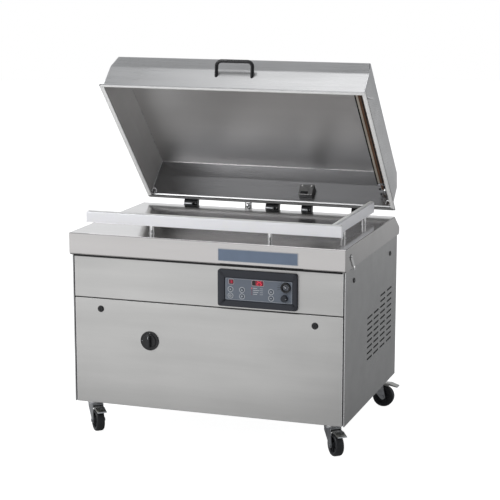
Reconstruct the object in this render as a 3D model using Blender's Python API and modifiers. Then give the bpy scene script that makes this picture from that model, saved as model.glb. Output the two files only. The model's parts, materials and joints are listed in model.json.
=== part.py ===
"""Floor-standing chamber vacuum packing machine, modelled with the lid open.

Metres, +Z up, +X to the machine's right, +Y to its back. The origin is on the floor
under the middle of the machine's bounding box. FRONT_Y is the cabinet's front face, and
every depth below is counted back from it. Lid pieces are designed in the closed position
(depth, height above the deck) and hang on an empty that holds the lid open.
"""
import math

import bmesh
import bpy
from mathutils import Matrix, Vector

OBJECT_NAME = "vacuum_packing_machine"
GAP = 0.0003                      # air kept between neighbouring solids
MERGE = 0.0001

# Cabinet
FRONT_Y = -0.3837
CABINET_HALF_WIDTH = 0.496
CABINET_DEPTH = 0.718
CABINET_BOTTOM = 0.112
SEAM_HEIGHT = 0.493               # joint between the lower and upper front panels
SEAM_GAP = 0.003
SHEET = 0.0015
PANEL_HALF_WIDTH = 0.4885
PANEL_RETURN = 0.014
SIDE_PANEL_TOP = 0.660
BASE_HEIGHT = 0.038

# Deck
DECK_TOP = 0.724
DECK_BOTTOM = 0.645
DECK_HALF_WIDTH = 0.5007
DECK_FRONT = -0.0165
DECK_FLAT_END = 0.660             # depth at which the rear chamfer starts
DECK_CHAMFER_END = 0.727
DECK_CHAMFER_DROP = 0.045
DECK_REAR = 0.735
DECK_SHEET = 0.003
DECK_EDGE_RADIUS = 0.003

# Lid, in its closed position
LID_OPEN_ANGLE = math.radians(46.4)
HINGE_DEPTH = 0.6962
HINGE_HEIGHT = DECK_TOP - 0.0298
LID_FRONT = 0.0065
LID_REAR = 0.6638
LID_HALF_WIDTH = 0.4933
LID_FLANGE = 0.0105               # width of the gasket channel
LID_FLANGE_TOP = 0.009
LID_LIP_BOTTOM = 0.003
LID_BEND = 0.1005
LID_HEIGHT = 0.162
LID_CHAMFER_FRONT = 0.0142
LID_CHAMFER_SIDE = 0.0098
LID_SHEET = 0.002
LID_FOLD_RADIUS = 0.004
GASKET_WIDTH = 0.0065
GASKET_HEIGHT = 0.0043

# Hinges along the rear edge
HINGE_CENTRES = {"1": (-0.316, 0.070), "2": (0.014, 0.068), "3": (0.150, 0.056), "4": (0.345, 0.056)}
HINGE_PIN_RADIUS = 0.005
HINGE_KNUCKLE_RADIUS = 0.010
HINGE_EAR = 0.007
HINGE_SIDE_PLAY = 0.0008
FOLD_CLEARANCE = 0.0055           # chamfer that clears the fold between wall and flange

# Seal bars: counter bars on the deck, heated bars in the lid
BAR_UNDERSIDE = 0.027
BAR_HEIGHT = 0.038
BAR_THICKNESS = 0.020
BAR_LIFT = 0.008
FRONT_BAR_DEPTH = 0.060           # middle of the front bar
FRONT_BAR_X = (-0.463, 0.467)
RIGHT_BAR_X = 0.433               # middle of the right-hand bar
RIGHT_BAR_Y = (0.0715, 0.575)
ROD_RADIUS = 0.008
ROD_HOLE_RADIUS = 0.009
ROD_BOTTOM = -0.045
FRONT_ROD_X = (-0.2185, 0.213)
RIGHT_ROD_Y = (0.190, 0.466)
SILICONE_WIDTH = 0.012
SILICONE_HEIGHT = 0.003
SEAL_BAR_WIDTH = 0.024
SEAL_BAR_HEIGHT = 0.028
SEAL_BAR_UNDERSIDE = BAR_UNDERSIDE + BAR_HEIGHT + SILICONE_HEIGHT + BAR_LIFT + 0.001

# Controls on the upper front panel
BEZEL_X = (0.047, 0.331)
BEZEL_Z = (CABINET_BOTTOM + 0.389, CABINET_BOTTOM + 0.518)
BEZEL_DEPTH = 0.005
PLATE_X = (0.075, 0.3135)
PLATE_Z = (CABINET_BOTTOM + 0.4131, CABINET_BOTTOM + 0.4895)
PLATE_DEPTH = 0.0015
KEY_X = (0.0938, 0.1351, 0.2385)
KEY_Z = (CABINET_BOTTOM + 0.4503, CABINET_BOTTOM + 0.428)
KEY_RADIUS = 0.0062
KEY_HEIGHT = 0.0016
GAUGE_CENTRE = (0.2904, CABINET_BOTTOM + 0.4690)
GAUGE_RADIUS = 0.0175
AIR_KNOB_CENTRE = (0.2863, CABINET_BOTTOM + 0.4318)
AIR_KNOB_RADIUS = 0.0120
SWITCH_CENTRE = (-0.207, CABINET_BOTTOM + 0.2425)
SWITCH_RADIUS = 0.034
LOCK_CENTRES = {"left": -0.391, "right": 0.391}
LOCK_Z = CABINET_BOTTOM + 0.3432
LOCK_RADIUS = 0.0100

# Cooling slots in the right-hand panel: depth of each column's middle, and slots in it
VENT_COLUMNS = ((0.329, 8), (0.419, 8), (0.512, 10), (0.608, 10))
VENT_LENGTH = 0.071
VENT_WIDTH = 0.0070
VENT_PITCH = 0.0213
VENT_LOWEST = CABINET_BOTTOM + 0.160

# Gas spring that carries the lid
SPRING_X = -0.083
SPRING_FOOT = (0.600, 0.300)      # depth and height of its lower pivot
SPRING_HEAD = (-0.026, 0.0218)    # upper pivot from the hinge axis, lid closed
SPRING_TUBE_RADIUS = 0.011
SPRING_ROD_RADIUS = 0.005
SPRING_TUBE_LENGTH = 0.300
SPRING_EYE_RADIUS = 0.0102
SPRING_EYE_BORE = 0.0076
LUG_PIN_RADIUS = 0.004

# Transport hook on the right-hand skirt
HOOK_PIVOT = (0.0444, DECK_TOP - 0.0354)
HOOK_REACH = 0.0534
HOOK_REST_ANGLE = math.radians(-47.3)
HOOK_WIDTH = 0.015
HOOK_PLATE = 0.0025
STUD_POSITION = (0.0500, 0.0177)
STUD_RADIUS = 0.0035

# Casters
CASTER_X = 0.441
CASTER_DEPTHS = {"front": 0.050, "rear": 0.652}
CASTER_ANGLES = {"front_left": -50.0, "front_right": -50.0, "rear_left": 180.0, "rear_right": 0.0}
WHEEL_RADIUS = 0.040
WHEEL_HALF_WIDTH = 0.015
CASTER_TRAIL = 0.030
AXLE_RADIUS = 0.004
FORK_LEG_INSIDE = 0.01825
FORK_LEG = 0.0025
FORK_CROWN = 0.0945
PLATE_BOTTOM = 0.1077
PEDAL_PIVOT = (0.0, 0.0885)

X_AXIS = Matrix.Rotation(math.radians(90), 4, "Y")
Y_AXIS = Matrix.Rotation(math.radians(90), 4, "X")
Z_AXIS = Matrix.Identity(4)


# ---------------------------------------------------------------- scene and materials

def clear_scene():
    for leftover in list(bpy.data.objects):
        bpy.data.objects.remove(leftover, do_unlink=True)


def new_collection(name):
    collection = bpy.data.collections.new(name)
    bpy.context.scene.collection.children.link(collection)
    return collection


def finish(name, colour, roughness, metallic):
    material = bpy.data.materials.new(name)
    material.use_nodes = True
    shader = material.node_tree.nodes["Principled BSDF"]
    shader.inputs["Base Color"].default_value = (*colour, 1.0)
    shader.inputs["Roughness"].default_value = roughness
    shader.inputs["Metallic"].default_value = metallic
    return material


FINISHES = {
    "brushed_steel": ((0.62, 0.62, 0.63), 0.35, 1.0),
    "polished_steel": ((0.72, 0.72, 0.73), 0.15, 1.0),
    "anodised_aluminium": ((0.80, 0.80, 0.82), 0.40, 1.0),
    "zinc": ((0.55, 0.55, 0.56), 0.40, 1.0),
    "black_plastic": ((0.02, 0.02, 0.022), 0.45, 0.0),
    "charcoal_plastic": ((0.06, 0.065, 0.075), 0.50, 0.0),
    "membrane": ((0.16, 0.19, 0.24), 0.45, 0.0),
    "blue_label": ((0.16, 0.22, 0.32), 0.45, 0.0),
    "white_plastic": ((0.75, 0.75, 0.76), 0.45, 0.0),
    "silicone": ((0.45, 0.44, 0.42), 0.60, 0.0),
    "rubber": ((0.03, 0.03, 0.032), 0.70, 0.0),
    "ptfe_tape": ((0.33, 0.22, 0.14), 0.55, 0.0),
    "painted_pump": ((0.20, 0.22, 0.24), 0.50, 0.0),
    "varnished_windings": ((0.40, 0.28, 0.20), 0.50, 0.6),
}


# ---------------------------------------------------------------- building blocks

def add_part(name, mesh, slot, parent=None, smooth=False):
    """A named sub-part with a finish of its own."""
    part = bpy.data.objects.new(name, mesh)
    part_collection.objects.link(part)
    mesh.materials.clear()
    mesh.materials.append(finish(f"{slot}.{name}", *FINISHES[slot]))
    part.parent = parent
    if smooth:
        mesh.shade_smooth()
        mesh.set_sharp_from_angle(angle=math.radians(35))
    return part


def add_cutter(name, mesh, parent=None):
    cutter = bpy.data.objects.new(name, mesh)
    cutter_collection.objects.link(cutter)
    cutter.parent = parent
    cutter.hide_render = True
    cutter.display_type = "WIRE"
    return cutter


def add_empty(name, location, rotation=(0.0, 0.0, 0.0), parent=None):
    empty = bpy.data.objects.new(name, None)
    part_collection.objects.link(empty)
    empty.location = location
    empty.rotation_euler = rotation
    empty.parent = parent
    return empty


def boolean(part, operation, tools):
    for tool in tools:
        modifier = part.modifiers.new(f"{operation}_{tool.name}", "BOOLEAN")
        modifier.operation = operation
        modifier.object = tool
        modifier.solver = "EXACT"


def bevel(part, width, segments=2, angle=30.0):
    modifier = part.modifiers.new("Bevel", "BEVEL")
    modifier.width = width
    modifier.segments = segments
    modifier.limit_method = "ANGLE"
    modifier.angle_limit = math.radians(angle)


def solidify(part, thickness, offset=-1.0):
    modifier = part.modifiers.new("Solidify", "SOLIDIFY")
    modifier.thickness = thickness
    modifier.offset = offset
    modifier.use_even_offset = True


def mesh_from(build, name):
    shape = bmesh.new()
    build(shape)
    mesh = bpy.data.meshes.new(name)
    shape.to_mesh(mesh)
    shape.free()
    return mesh


def box_mesh(name, low, high):
    """A box between two corners."""
    low, high = Vector(low), Vector(high)

    def build(shape):
        bmesh.ops.create_cube(shape, size=1.0)
        bmesh.ops.scale(shape, vec=high - low, verts=shape.verts)
        bmesh.ops.translate(shape, vec=(low + high) / 2, verts=shape.verts)

    return mesh_from(build, name)


def rod_mesh(name, radius, start, end, axis=Z_AXIS, segments=24, end_radius=None):
    """A cylinder or cone between two centres that lie along one axis."""
    start, end = Vector(start), Vector(end)
    top_radius = radius if end_radius is None else end_radius

    def build(shape):
        bmesh.ops.create_cone(shape, cap_ends=True, segments=segments, radius1=radius,
                              radius2=top_radius, depth=(end - start).length, matrix=axis)
        bmesh.ops.translate(shape, vec=(start + end) / 2, verts=shape.verts)

    return mesh_from(build, name)


def outline_mesh(name, loops, thickness, matrix=None):
    """A flat outline, with holes, given a thickness about its own plane."""
    curve = bpy.data.curves.new(name, "CURVE")
    curve.dimensions = "2D"
    curve.fill_mode = "BOTH"
    curve.extrude = thickness / 2
    for loop in loops:
        spline = curve.splines.new("POLY")
        spline.points.add(len(loop) - 1)
        for point, (u, v) in zip(spline.points, loop):
            point.co = (u, v, 0.0, 1.0)
        spline.use_cyclic_u = True
    holder = bpy.data.objects.new(name + "_curve", curve)
    cutter_collection.objects.link(holder)
    bpy.context.view_layer.update()
    evaluated = holder.evaluated_get(bpy.context.evaluated_depsgraph_get())
    mesh = bpy.data.meshes.new_from_object(evaluated)
    shape = bmesh.new()
    shape.from_mesh(mesh)
    bmesh.ops.remove_doubles(shape, verts=shape.verts, dist=MERGE / 2)
    if matrix is not None:
        bmesh.ops.transform(shape, matrix=matrix, verts=shape.verts)
    shape.to_mesh(mesh)
    shape.free()
    bpy.data.objects.remove(holder, do_unlink=True)
    mesh.name = name
    return mesh


def arc(centre, radius, start, end, steps):
    """Points on an arc, angles in degrees, both ends included."""
    points = []
    for step in range(steps + 1):
        angle = math.radians(start + (end - start) * step / steps)
        points.append((centre[0] + radius * math.cos(angle), centre[1] + radius * math.sin(angle)))
    return points


def circle(centre, radius, steps=20):
    return arc(centre, radius, 0.0, 360.0, steps)[:-1]


def rounded_rectangle(low, high, radius, steps=4):
    (x0, y0), (x1, y1) = low, high
    corners = (((x1 - radius, y1 - radius), 0.0), ((x0 + radius, y1 - radius), 90.0),
               ((x0 + radius, y0 + radius), 180.0), ((x1 - radius, y0 + radius), 270.0))
    points = []
    for centre, start in corners:
        points += arc(centre, radius, start, start + 90.0, steps)
    return points


def turned_part(name, profile, slot, parent, location, rotation, steps=28):
    """A turned piece: its (radius, height) profile swept about local Z by a Screw."""
    def build(shape):
        verts = [shape.verts.new((radius, 0.0, height)) for radius, height in profile]
        for first, second in zip(verts, verts[1:]):
            shape.edges.new((first, second))
        if profile[0][0] > 0.0 and profile[-1][0] > 0.0:
            shape.edges.new((verts[-1], verts[0]))

    part = add_part(name, mesh_from(build, name), slot, parent)
    screw = part.modifiers.new("Screw", "SCREW")
    screw.steps = steps
    screw.render_steps = steps
    screw.use_merge_vertices = True
    screw.merge_threshold = MERGE
    screw.use_smooth_shade = True
    part.location = location
    part.rotation_euler = rotation
    return part


def xz_plane(depth):
    """Outline u, v become X, Z; its thickness runs along Y, centred on the depth."""
    return Matrix.Translation((0.0, FRONT_Y + depth, 0.0)) @ Y_AXIS


def yz_plane(x, y=0.0, z=0.0):
    """Outline u, v become Y, Z; its thickness runs along X, centred on x."""
    turn = Matrix(((0, 0, 1, 0), (1, 0, 0, 0), (0, 1, 0, 0), (0, 0, 0, 1)))
    return Matrix.Translation((x, y, z)) @ turn


# ---------------------------------------------------------------- cabinet

def caster_places():
    for row, depth in CASTER_DEPTHS.items():
        for side, sign in (("left", -1.0), ("right", 1.0)):
            yield f"{row}_{side}", sign * CASTER_X, FRONT_Y + depth


def make_base_frame():
    """Folded floor tray with the four caster plates welded under it."""
    side = CABINET_HALF_WIDTH - 0.004
    front, rear = FRONT_Y + PANEL_RETURN + 0.002, FRONT_Y + CABINET_DEPTH - PANEL_RETURN - 0.005

    def build(shape):
        bmesh.ops.create_cube(shape, size=1.0)
        top = [face for face in shape.faces if face.normal.z > 0.5]
        bmesh.ops.delete(shape, geom=top, context="FACES_ONLY")
        bmesh.ops.scale(shape, vec=(2 * side, rear - front, BASE_HEIGHT), verts=shape.verts)
        middle = (0.0, (front + rear) / 2, CABINET_BOTTOM + BASE_HEIGHT / 2)
        bmesh.ops.translate(shape, vec=middle, verts=shape.verts)

    base = add_part("base_frame", mesh_from(build, "base_frame"), "zinc")
    solidify(base, 0.002)
    plates = []
    for place, x, y in caster_places():
        low = (x - 0.0425, y - 0.0325, PLATE_BOTTOM)
        high = (x + 0.0425, y + 0.0325, CABINET_BOTTOM + 0.001)
        plates.append(add_cutter(f"plate_{place}", box_mesh(f"plate_{place}", low, high)))
    boolean(base, "UNION", plates)


def make_side_panel(name, sign, slots):
    """Side sheet, hemmed in front and folded in at the back; slots cool the pump."""
    outer = CABINET_HALF_WIDTH - SHEET / 2
    hem = outer - 0.0023
    back = FRONT_Y + CABINET_DEPTH - SHEET / 2
    path = ((hem, FRONT_Y + 0.018), (hem, FRONT_Y + SHEET / 2), (outer, FRONT_Y + SHEET / 2),
            (outer, back), (outer - 0.016, back))

    def build(shape):
        rows = []
        for z in (CABINET_BOTTOM, SIDE_PANEL_TOP):
            rows.append([shape.verts.new((sign * x, y, z)) for x, y in path])
        for index in range(len(path) - 1):
            quad = [rows[0][index], rows[0][index + 1], rows[1][index + 1], rows[1][index]]
            shape.faces.new(quad if sign > 0 else quad[::-1])

    panel = add_part(name, mesh_from(build, name), "brushed_steel")
    solidify(panel, SHEET, offset=0.0)
    if slots:
        boolean(panel, "DIFFERENCE", [slot_cutter(sign * CABINET_HALF_WIDTH)])


def slot_cutter(x):
    half_run = (VENT_LENGTH - VENT_WIDTH) / 2
    radius = VENT_WIDTH / 2
    loops = []
    for depth, count in VENT_COLUMNS:
        for row in range(count):
            z = VENT_LOWEST + row * VENT_PITCH
            y = FRONT_Y + depth
            loops.append(arc((y + half_run, z), radius, -90.0, 90.0, 4)
                         + arc((y - half_run, z), radius, 90.0, 270.0, 4))
    return add_cutter("vent_slots", outline_mesh("vent_slots", loops, 0.012, yz_plane(x)))


def make_tray_panel(name, half_width, low_z, high_z, depth, facing):
    """A sheet pan whose returns point away from the side it faces."""
    def build(shape):
        bmesh.ops.create_cube(shape, size=1.0)
        open_side = [face for face in shape.faces if face.normal.y * facing < -0.5]
        bmesh.ops.delete(shape, geom=open_side, context="FACES_ONLY")
        size = (2 * half_width, PANEL_RETURN, high_z - low_z)
        bmesh.ops.scale(shape, vec=size, verts=shape.verts)
        middle = (0.0, FRONT_Y + depth - facing * PANEL_RETURN / 2, (low_z + high_z) / 2)
        bmesh.ops.translate(shape, vec=middle, verts=shape.verts)

    panel = add_part(name, mesh_from(build, name), "brushed_steel")
    bevel(panel, 0.0015, segments=1)
    solidify(panel, SHEET)
    return panel


def make_cabinet():
    make_base_frame()
    make_side_panel("left_side_panel", -1.0, slots=False)
    make_side_panel("right_side_panel", 1.0, slots=True)
    make_tray_panel("front_lower_panel", PANEL_HALF_WIDTH, CABINET_BOTTOM,
                    SEAM_HEIGHT - SEAM_GAP / 2, 0.0, -1.0)
    make_tray_panel("front_upper_panel", PANEL_HALF_WIDTH, SEAM_HEIGHT + SEAM_GAP / 2,
                    DECK_BOTTOM - 0.002, 0.0, -1.0)
    rear = make_tray_panel("rear_panel", CABINET_HALF_WIDTH - 0.006, CABINET_BOTTOM,
                           DECK_BOTTOM - 0.004, CABINET_DEPTH - 0.0022, 1.0)
    gland_hole = rod_mesh("gland_hole", 0.0085, (-0.40, FRONT_Y + CABINET_DEPTH - 0.03, 0.20),
                          (-0.40, FRONT_Y + CABINET_DEPTH + 0.03, 0.20), Y_AXIS)
    boolean(rear, "DIFFERENCE", [add_cutter("gland_hole", gland_hole)])


# ---------------------------------------------------------------- deck

def deck_profile():
    """The deck's sheet in depth and height, from the front return to the rear one."""
    return ((-0.0012, DECK_BOTTOM), (-0.0095, DECK_BOTTOM), (DECK_FRONT, DECK_BOTTOM + 0.007),
            (DECK_FRONT, DECK_TOP), (DECK_FLAT_END, DECK_TOP),
            (DECK_CHAMFER_END, DECK_TOP - DECK_CHAMFER_DROP),
            (DECK_REAR, DECK_TOP - DECK_CHAMFER_DROP - 0.006),
            (DECK_REAR, DECK_BOTTOM + 0.008), (DECK_REAR - 0.010, DECK_BOTTOM),
            (CABINET_DEPTH + 0.002, DECK_BOTTOM))


def make_deck():
    def build(shape):
        rows = []
        for x in (-DECK_HALF_WIDTH, DECK_HALF_WIDTH):
            rows.append([shape.verts.new((x, FRONT_Y + y, z)) for y, z in deck_profile()])
        for index in range(len(rows[0]) - 1):
            shape.faces.new((rows[0][index], rows[0][index + 1],
                             rows[1][index + 1], rows[1][index]))
        shape.faces.new(rows[0][::-1])
        shape.faces.new(rows[1])
        bmesh.ops.recalc_face_normals(shape, faces=shape.faces)

    deck = add_part("deck_plate", mesh_from(build, "deck_plate"), "polished_steel")
    bevel(deck, DECK_EDGE_RADIUS, segments=3, angle=50.0)
    solidify(deck, DECK_SHEET)
    boolean(deck, "DIFFERENCE", deck_openings())


def deck_openings():
    """Notches for the hinges and the gas spring, and holes for the bar rods."""
    cutters = []
    for tag, (x, width) in HINGE_CENTRES.items():
        half = width / 2 + 0.003
        low = (x - half, FRONT_Y + DECK_FLAT_END + 0.002, DECK_TOP - 0.070)
        high = (x + half, FRONT_Y + DECK_CHAMFER_END - 0.004, DECK_TOP + 0.01)
        cutters.append(add_cutter(f"hinge_notch_{tag}", box_mesh(f"hinge_notch_{tag}", low, high)))
    low = (SPRING_X - 0.017, FRONT_Y + DECK_FLAT_END - 0.0008, DECK_TOP - 0.050)
    high = (SPRING_X + 0.017, FRONT_Y + DECK_CHAMFER_END - 0.004, DECK_TOP + 0.01)
    cutters.append(add_cutter("spring_slot", box_mesh("spring_slot", low, high)))
    for index, (x, depth) in enumerate(rod_places()):
        hole = rod_mesh(f"rod_hole_{index}", ROD_HOLE_RADIUS, (x, FRONT_Y + depth, DECK_TOP - 0.02),
                        (x, FRONT_Y + depth, DECK_TOP + 0.02), segments=20)
        cutters.append(add_cutter(f"rod_hole_{index}", hole))
    return cutters


def rod_places():
    front = [(x, FRONT_BAR_DEPTH) for x in FRONT_ROD_X]
    right = [(RIGHT_BAR_X, depth) for depth in RIGHT_ROD_Y]
    return front + right


# ---------------------------------------------------------------- bars on the deck

def make_counter_bar(name, low_xy, high_xy, rods):
    """Aluminium bar on two polished lift rods."""
    low = (low_xy[0], FRONT_Y + low_xy[1], DECK_TOP + BAR_UNDERSIDE)
    high = (high_xy[0], FRONT_Y + high_xy[1], DECK_TOP + BAR_UNDERSIDE + BAR_HEIGHT)
    bar = add_part(name, box_mesh(name, low, high), "anodised_aluminium")
    bevel(bar, 0.001, segments=2)
    lift_rods = []
    for index, (x, depth) in enumerate(rods):
        start = (x, FRONT_Y + depth, DECK_TOP + ROD_BOTTOM)
        end = (x, FRONT_Y + depth, DECK_TOP + BAR_UNDERSIDE + 0.006)
        mesh = rod_mesh(f"{name}_rod_{index}", ROD_RADIUS, start, end, segments=20)
        lift_rods.append(add_cutter(f"{name}_rod_{index}", mesh))
    boolean(bar, "UNION", lift_rods)


def make_silicone(name, low_xy, high_xy):
    bottom = DECK_TOP + BAR_UNDERSIDE + BAR_HEIGHT + GAP
    low = (low_xy[0], FRONT_Y + low_xy[1], bottom)
    high = (high_xy[0], FRONT_Y + high_xy[1], bottom + SILICONE_HEIGHT - GAP)
    strip = add_part(name, box_mesh(name, low, high), "silicone")
    bevel(strip, 0.001, segments=2)


def make_deck_bars():
    half = BAR_THICKNESS / 2
    strip = SILICONE_WIDTH / 2
    rods = rod_places()
    make_counter_bar("front_counter_bar", (FRONT_BAR_X[0], FRONT_BAR_DEPTH - half),
                     (FRONT_BAR_X[1], FRONT_BAR_DEPTH + half), rods[:2])
    make_counter_bar("right_counter_bar", (RIGHT_BAR_X - half, RIGHT_BAR_Y[0]),
                     (RIGHT_BAR_X + half, RIGHT_BAR_Y[1]), rods[2:])
    make_silicone("front_silicone", (FRONT_BAR_X[0] + 0.004, FRONT_BAR_DEPTH - strip),
                  (FRONT_BAR_X[1] - 0.004, FRONT_BAR_DEPTH + strip))
    make_silicone("right_silicone", (RIGHT_BAR_X - strip, RIGHT_BAR_Y[0] + 0.004),
                  (RIGHT_BAR_X + strip, RIGHT_BAR_Y[1] - 0.004))


# ---------------------------------------------------------------- lid

def closed(y, h):
    """Closed-lid depth and height above the deck, as coordinates from the hinge axis."""
    return y - HINGE_DEPTH, DECK_TOP + h - HINGE_HEIGHT


def lid_box(low, high):
    """Corners (x, depth, height) of the closed lid, taken to the hinge axis."""
    (x0, y0, h0), (x1, y1, h1) = low, high
    return (x0, *closed(y0, h0)), (x1, *closed(y1, h1))


def make_lid_shell(axis):
    """One folded and welded hood: roof, chamfers, walls and the gasket channel's flange."""
    wall_x = LID_HALF_WIDTH - LID_FLANGE
    wall_front, wall_rear = LID_FRONT + LID_FLANGE, LID_REAR - LID_FLANGE
    rings = (
        (wall_x - LID_CHAMFER_SIDE, wall_front + LID_CHAMFER_FRONT,
         wall_rear - LID_CHAMFER_FRONT, LID_HEIGHT),
        (wall_x, wall_front, wall_rear, LID_BEND),
        (wall_x, wall_front, wall_rear, LID_FLANGE_TOP),
        (LID_HALF_WIDTH, LID_FRONT, LID_REAR, LID_FLANGE_TOP),
        (LID_HALF_WIDTH, LID_FRONT, LID_REAR, LID_LIP_BOTTOM),
    )

    def build(shape):
        loops = []
        for half, front, rear, h in rings:
            corners = ((-half, front), (half, front), (half, rear), (-half, rear))
            loops.append([shape.verts.new((x, *closed(y, h))) for x, y in corners])
        shape.faces.new(loops[0])
        for upper, lower in zip(loops, loops[1:]):
            for index in range(4):
                after = (index + 1) % 4
                shape.faces.new((upper[index], lower[index], lower[after], upper[after]))
        bmesh.ops.recalc_face_normals(shape, faces=shape.faces)

    shell = add_part("lid_shell", mesh_from(build, "lid_shell"), "brushed_steel", axis)
    if shell.data.polygons[0].normal.z < 0:
        shell.data.flip_normals()
    bevel(shell, LID_FOLD_RADIUS, segments=2, angle=8.0)
    solidify(shell, LID_SHEET)
    boolean(shell, "UNION", [stud_piece(axis)])


def stud_piece(axis):
    """The stud on the lid's right end that the transport hook catches."""
    depth, height = closed(*STUD_POSITION)
    start = (LID_HALF_WIDTH - LID_FLANGE - 0.001, depth, height)
    end = (DECK_HALF_WIDTH + 0.0075, depth, height)
    return add_cutter("hook_stud", rod_mesh("hook_stud", STUD_RADIUS, start, end, X_AXIS, 16), axis)


def make_gasket(axis):
    """A closed rubber frame that sits in the flange's channel."""
    inset = LID_SHEET + 0.0005
    outer = (LID_HALF_WIDTH - inset, LID_FRONT + inset, LID_REAR - inset)
    low_h = 0.0005

    def rectangle(shrink):
        half = outer[0] - shrink
        front, rear = outer[1] + shrink - HINGE_DEPTH, outer[2] - shrink - HINGE_DEPTH
        return rounded_rectangle((-half, front), (half, rear), 0.004 + 0.002 * (shrink == 0.0), 3)

    level = DECK_TOP + low_h + GASKET_HEIGHT / 2 - HINGE_HEIGHT
    matrix = Matrix.Translation((0.0, 0.0, level))
    mesh = outline_mesh("lid_gasket", [rectangle(0.0), rectangle(GASKET_WIDTH)],
                        GASKET_HEIGHT, matrix)
    add_part("lid_gasket", mesh, "rubber", axis)


def make_handle(axis):
    """Black U handle on the lid's front wall, tipped up so that it stands when the lid is open."""
    half_span, reach, radius, corner = 0.0665, 0.0427, 0.0065, 0.018
    points = [(-half_span, 0.0)]
    points += arc((-half_span + corner, reach - corner), corner, 180.0, 90.0, 5)
    points += arc((half_span - corner, reach - corner), corner, 90.0, 0.0, 5)
    points.append((half_span, 0.0))
    curve = bpy.data.curves.new("lid_handle", "CURVE")
    curve.dimensions = "3D"
    curve.bevel_depth = radius
    curve.bevel_resolution = 3
    curve.use_fill_caps = True
    spline = curve.splines.new("POLY")
    spline.points.add(len(points) - 1)
    tip = math.radians(48)
    clear_of_wall = radius * math.sin(tip) + GAP
    foot_depth, foot_height = closed(LID_FRONT + LID_FLANGE - clear_of_wall, 0.078)
    for point, (x, out) in zip(spline.points, points):
        position = (x, foot_depth - out * math.cos(tip), foot_height + out * math.sin(tip), 1.0)
        point.co = position
    handle = bpy.data.objects.new("lid_handle", curve)
    part_collection.objects.link(handle)
    curve.materials.append(finish("black_plastic.lid_handle", *FINISHES["black_plastic"]))
    handle.parent = axis


def make_seal_bars(axis):
    """Heated bars that close onto the silicone, each hung from the roof on two posts."""
    half = SEAL_BAR_WIDTH / 2
    low_h, high_h = SEAL_BAR_UNDERSIDE, SEAL_BAR_UNDERSIDE + SEAL_BAR_HEIGHT
    roof = LID_HEIGHT - LID_SHEET - GAP
    bars = (
        ("front_seal_bar", (-0.440, FRONT_BAR_DEPTH - half), (0.405, FRONT_BAR_DEPTH + half),
         ((-0.22, FRONT_BAR_DEPTH), (0.22, FRONT_BAR_DEPTH))),
        ("right_seal_bar", (RIGHT_BAR_X - half, 0.088), (RIGHT_BAR_X + half, 0.612),
         ((RIGHT_BAR_X, 0.19), (RIGHT_BAR_X, 0.47))),
    )
    for name, (x0, y0), (x1, y1), posts in bars:
        bar = add_part(name, box_mesh(name, *lid_box((x0, y0, low_h), (x1, y1, high_h))),
                       "ptfe_tape", axis)
        bevel(bar, 0.0015, segments=2)
        pillars = []
        for index, (x, depth) in enumerate(posts):
            foot = (x, *closed(depth, high_h - 0.004))
            head = (x, *closed(depth, roof))
            mesh = rod_mesh(f"{name}_post_{index}", 0.007, foot, head, segments=16)
            pillars.append(add_cutter(f"{name}_post_{index}", mesh, axis))
        boolean(bar, "UNION", pillars)


def make_port_block(axis):
    """Stainless port block on the inside of the rear wall, with its air slot."""
    wall = LID_REAR - LID_FLANGE - LID_SHEET - GAP
    low, high = lid_box((0.115, wall - 0.020, 0.030), (0.171, wall, 0.078))
    block = add_part("lid_port_block", box_mesh("lid_port_block", low, high), "polished_steel", axis)
    bevel(block, 0.002, segments=2)
    low, high = lid_box((0.123, wall - 0.030, 0.034), (0.147, wall - 0.006, 0.044))
    boolean(block, "DIFFERENCE", [add_cutter("port_slot", box_mesh("port_slot", low, high), axis)])


def make_lid():
    axis = add_empty("lid_axis", (0.0, FRONT_Y + HINGE_DEPTH, HINGE_HEIGHT),
                     (-LID_OPEN_ANGLE, 0.0, 0.0))
    make_lid_shell(axis)
    make_gasket(axis)
    make_handle(axis)
    make_seal_bars(axis)
    make_port_block(axis)
    make_spring_lug(axis)
    for tag, (x, width) in HINGE_CENTRES.items():
        make_hinge_leaf(tag, x, width, axis)
        make_hinge_base(tag, x, width)


# ---------------------------------------------------------------- hinges

def make_hinge_leaf(tag, x, width, axis):
    """Lid half of a hinge: a plate on the rear wall and an arm down to the knuckle."""
    leaf_width = width - 2 * (HINGE_EAR + HINGE_SIDE_PLAY)
    wall = closed(LID_REAR - LID_FLANGE, 0.0)[0] + GAP
    flange_top = closed(0.0, LID_FLANGE_TOP)[1] + GAP
    flange_edge = closed(LID_REAR, 0.0)[0] + 0.001
    loop = [(wall, flange_top + 0.040), (wall, flange_top + FOLD_CLEARANCE),
            (wall + FOLD_CLEARANCE, flange_top), (flange_edge, flange_top),
            (flange_edge, flange_top - 0.014)]
    loop += arc((0.0, 0.0), HINGE_KNUCKLE_RADIUS, 165.0, 400.0, 12)
    loop += [(flange_edge + 0.010, flange_top + 0.008), (wall + 0.005, flange_top + 0.013),
             (wall + 0.005, flange_top + 0.040)]
    bore = circle((0.0, 0.0), HINGE_PIN_RADIUS + 0.0002, 16)
    mesh = outline_mesh(f"hinge_leaf_{tag}", [loop, bore], leaf_width, yz_plane(x))
    add_part(f"hinge_leaf_{tag}", mesh, "polished_steel", axis)


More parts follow.
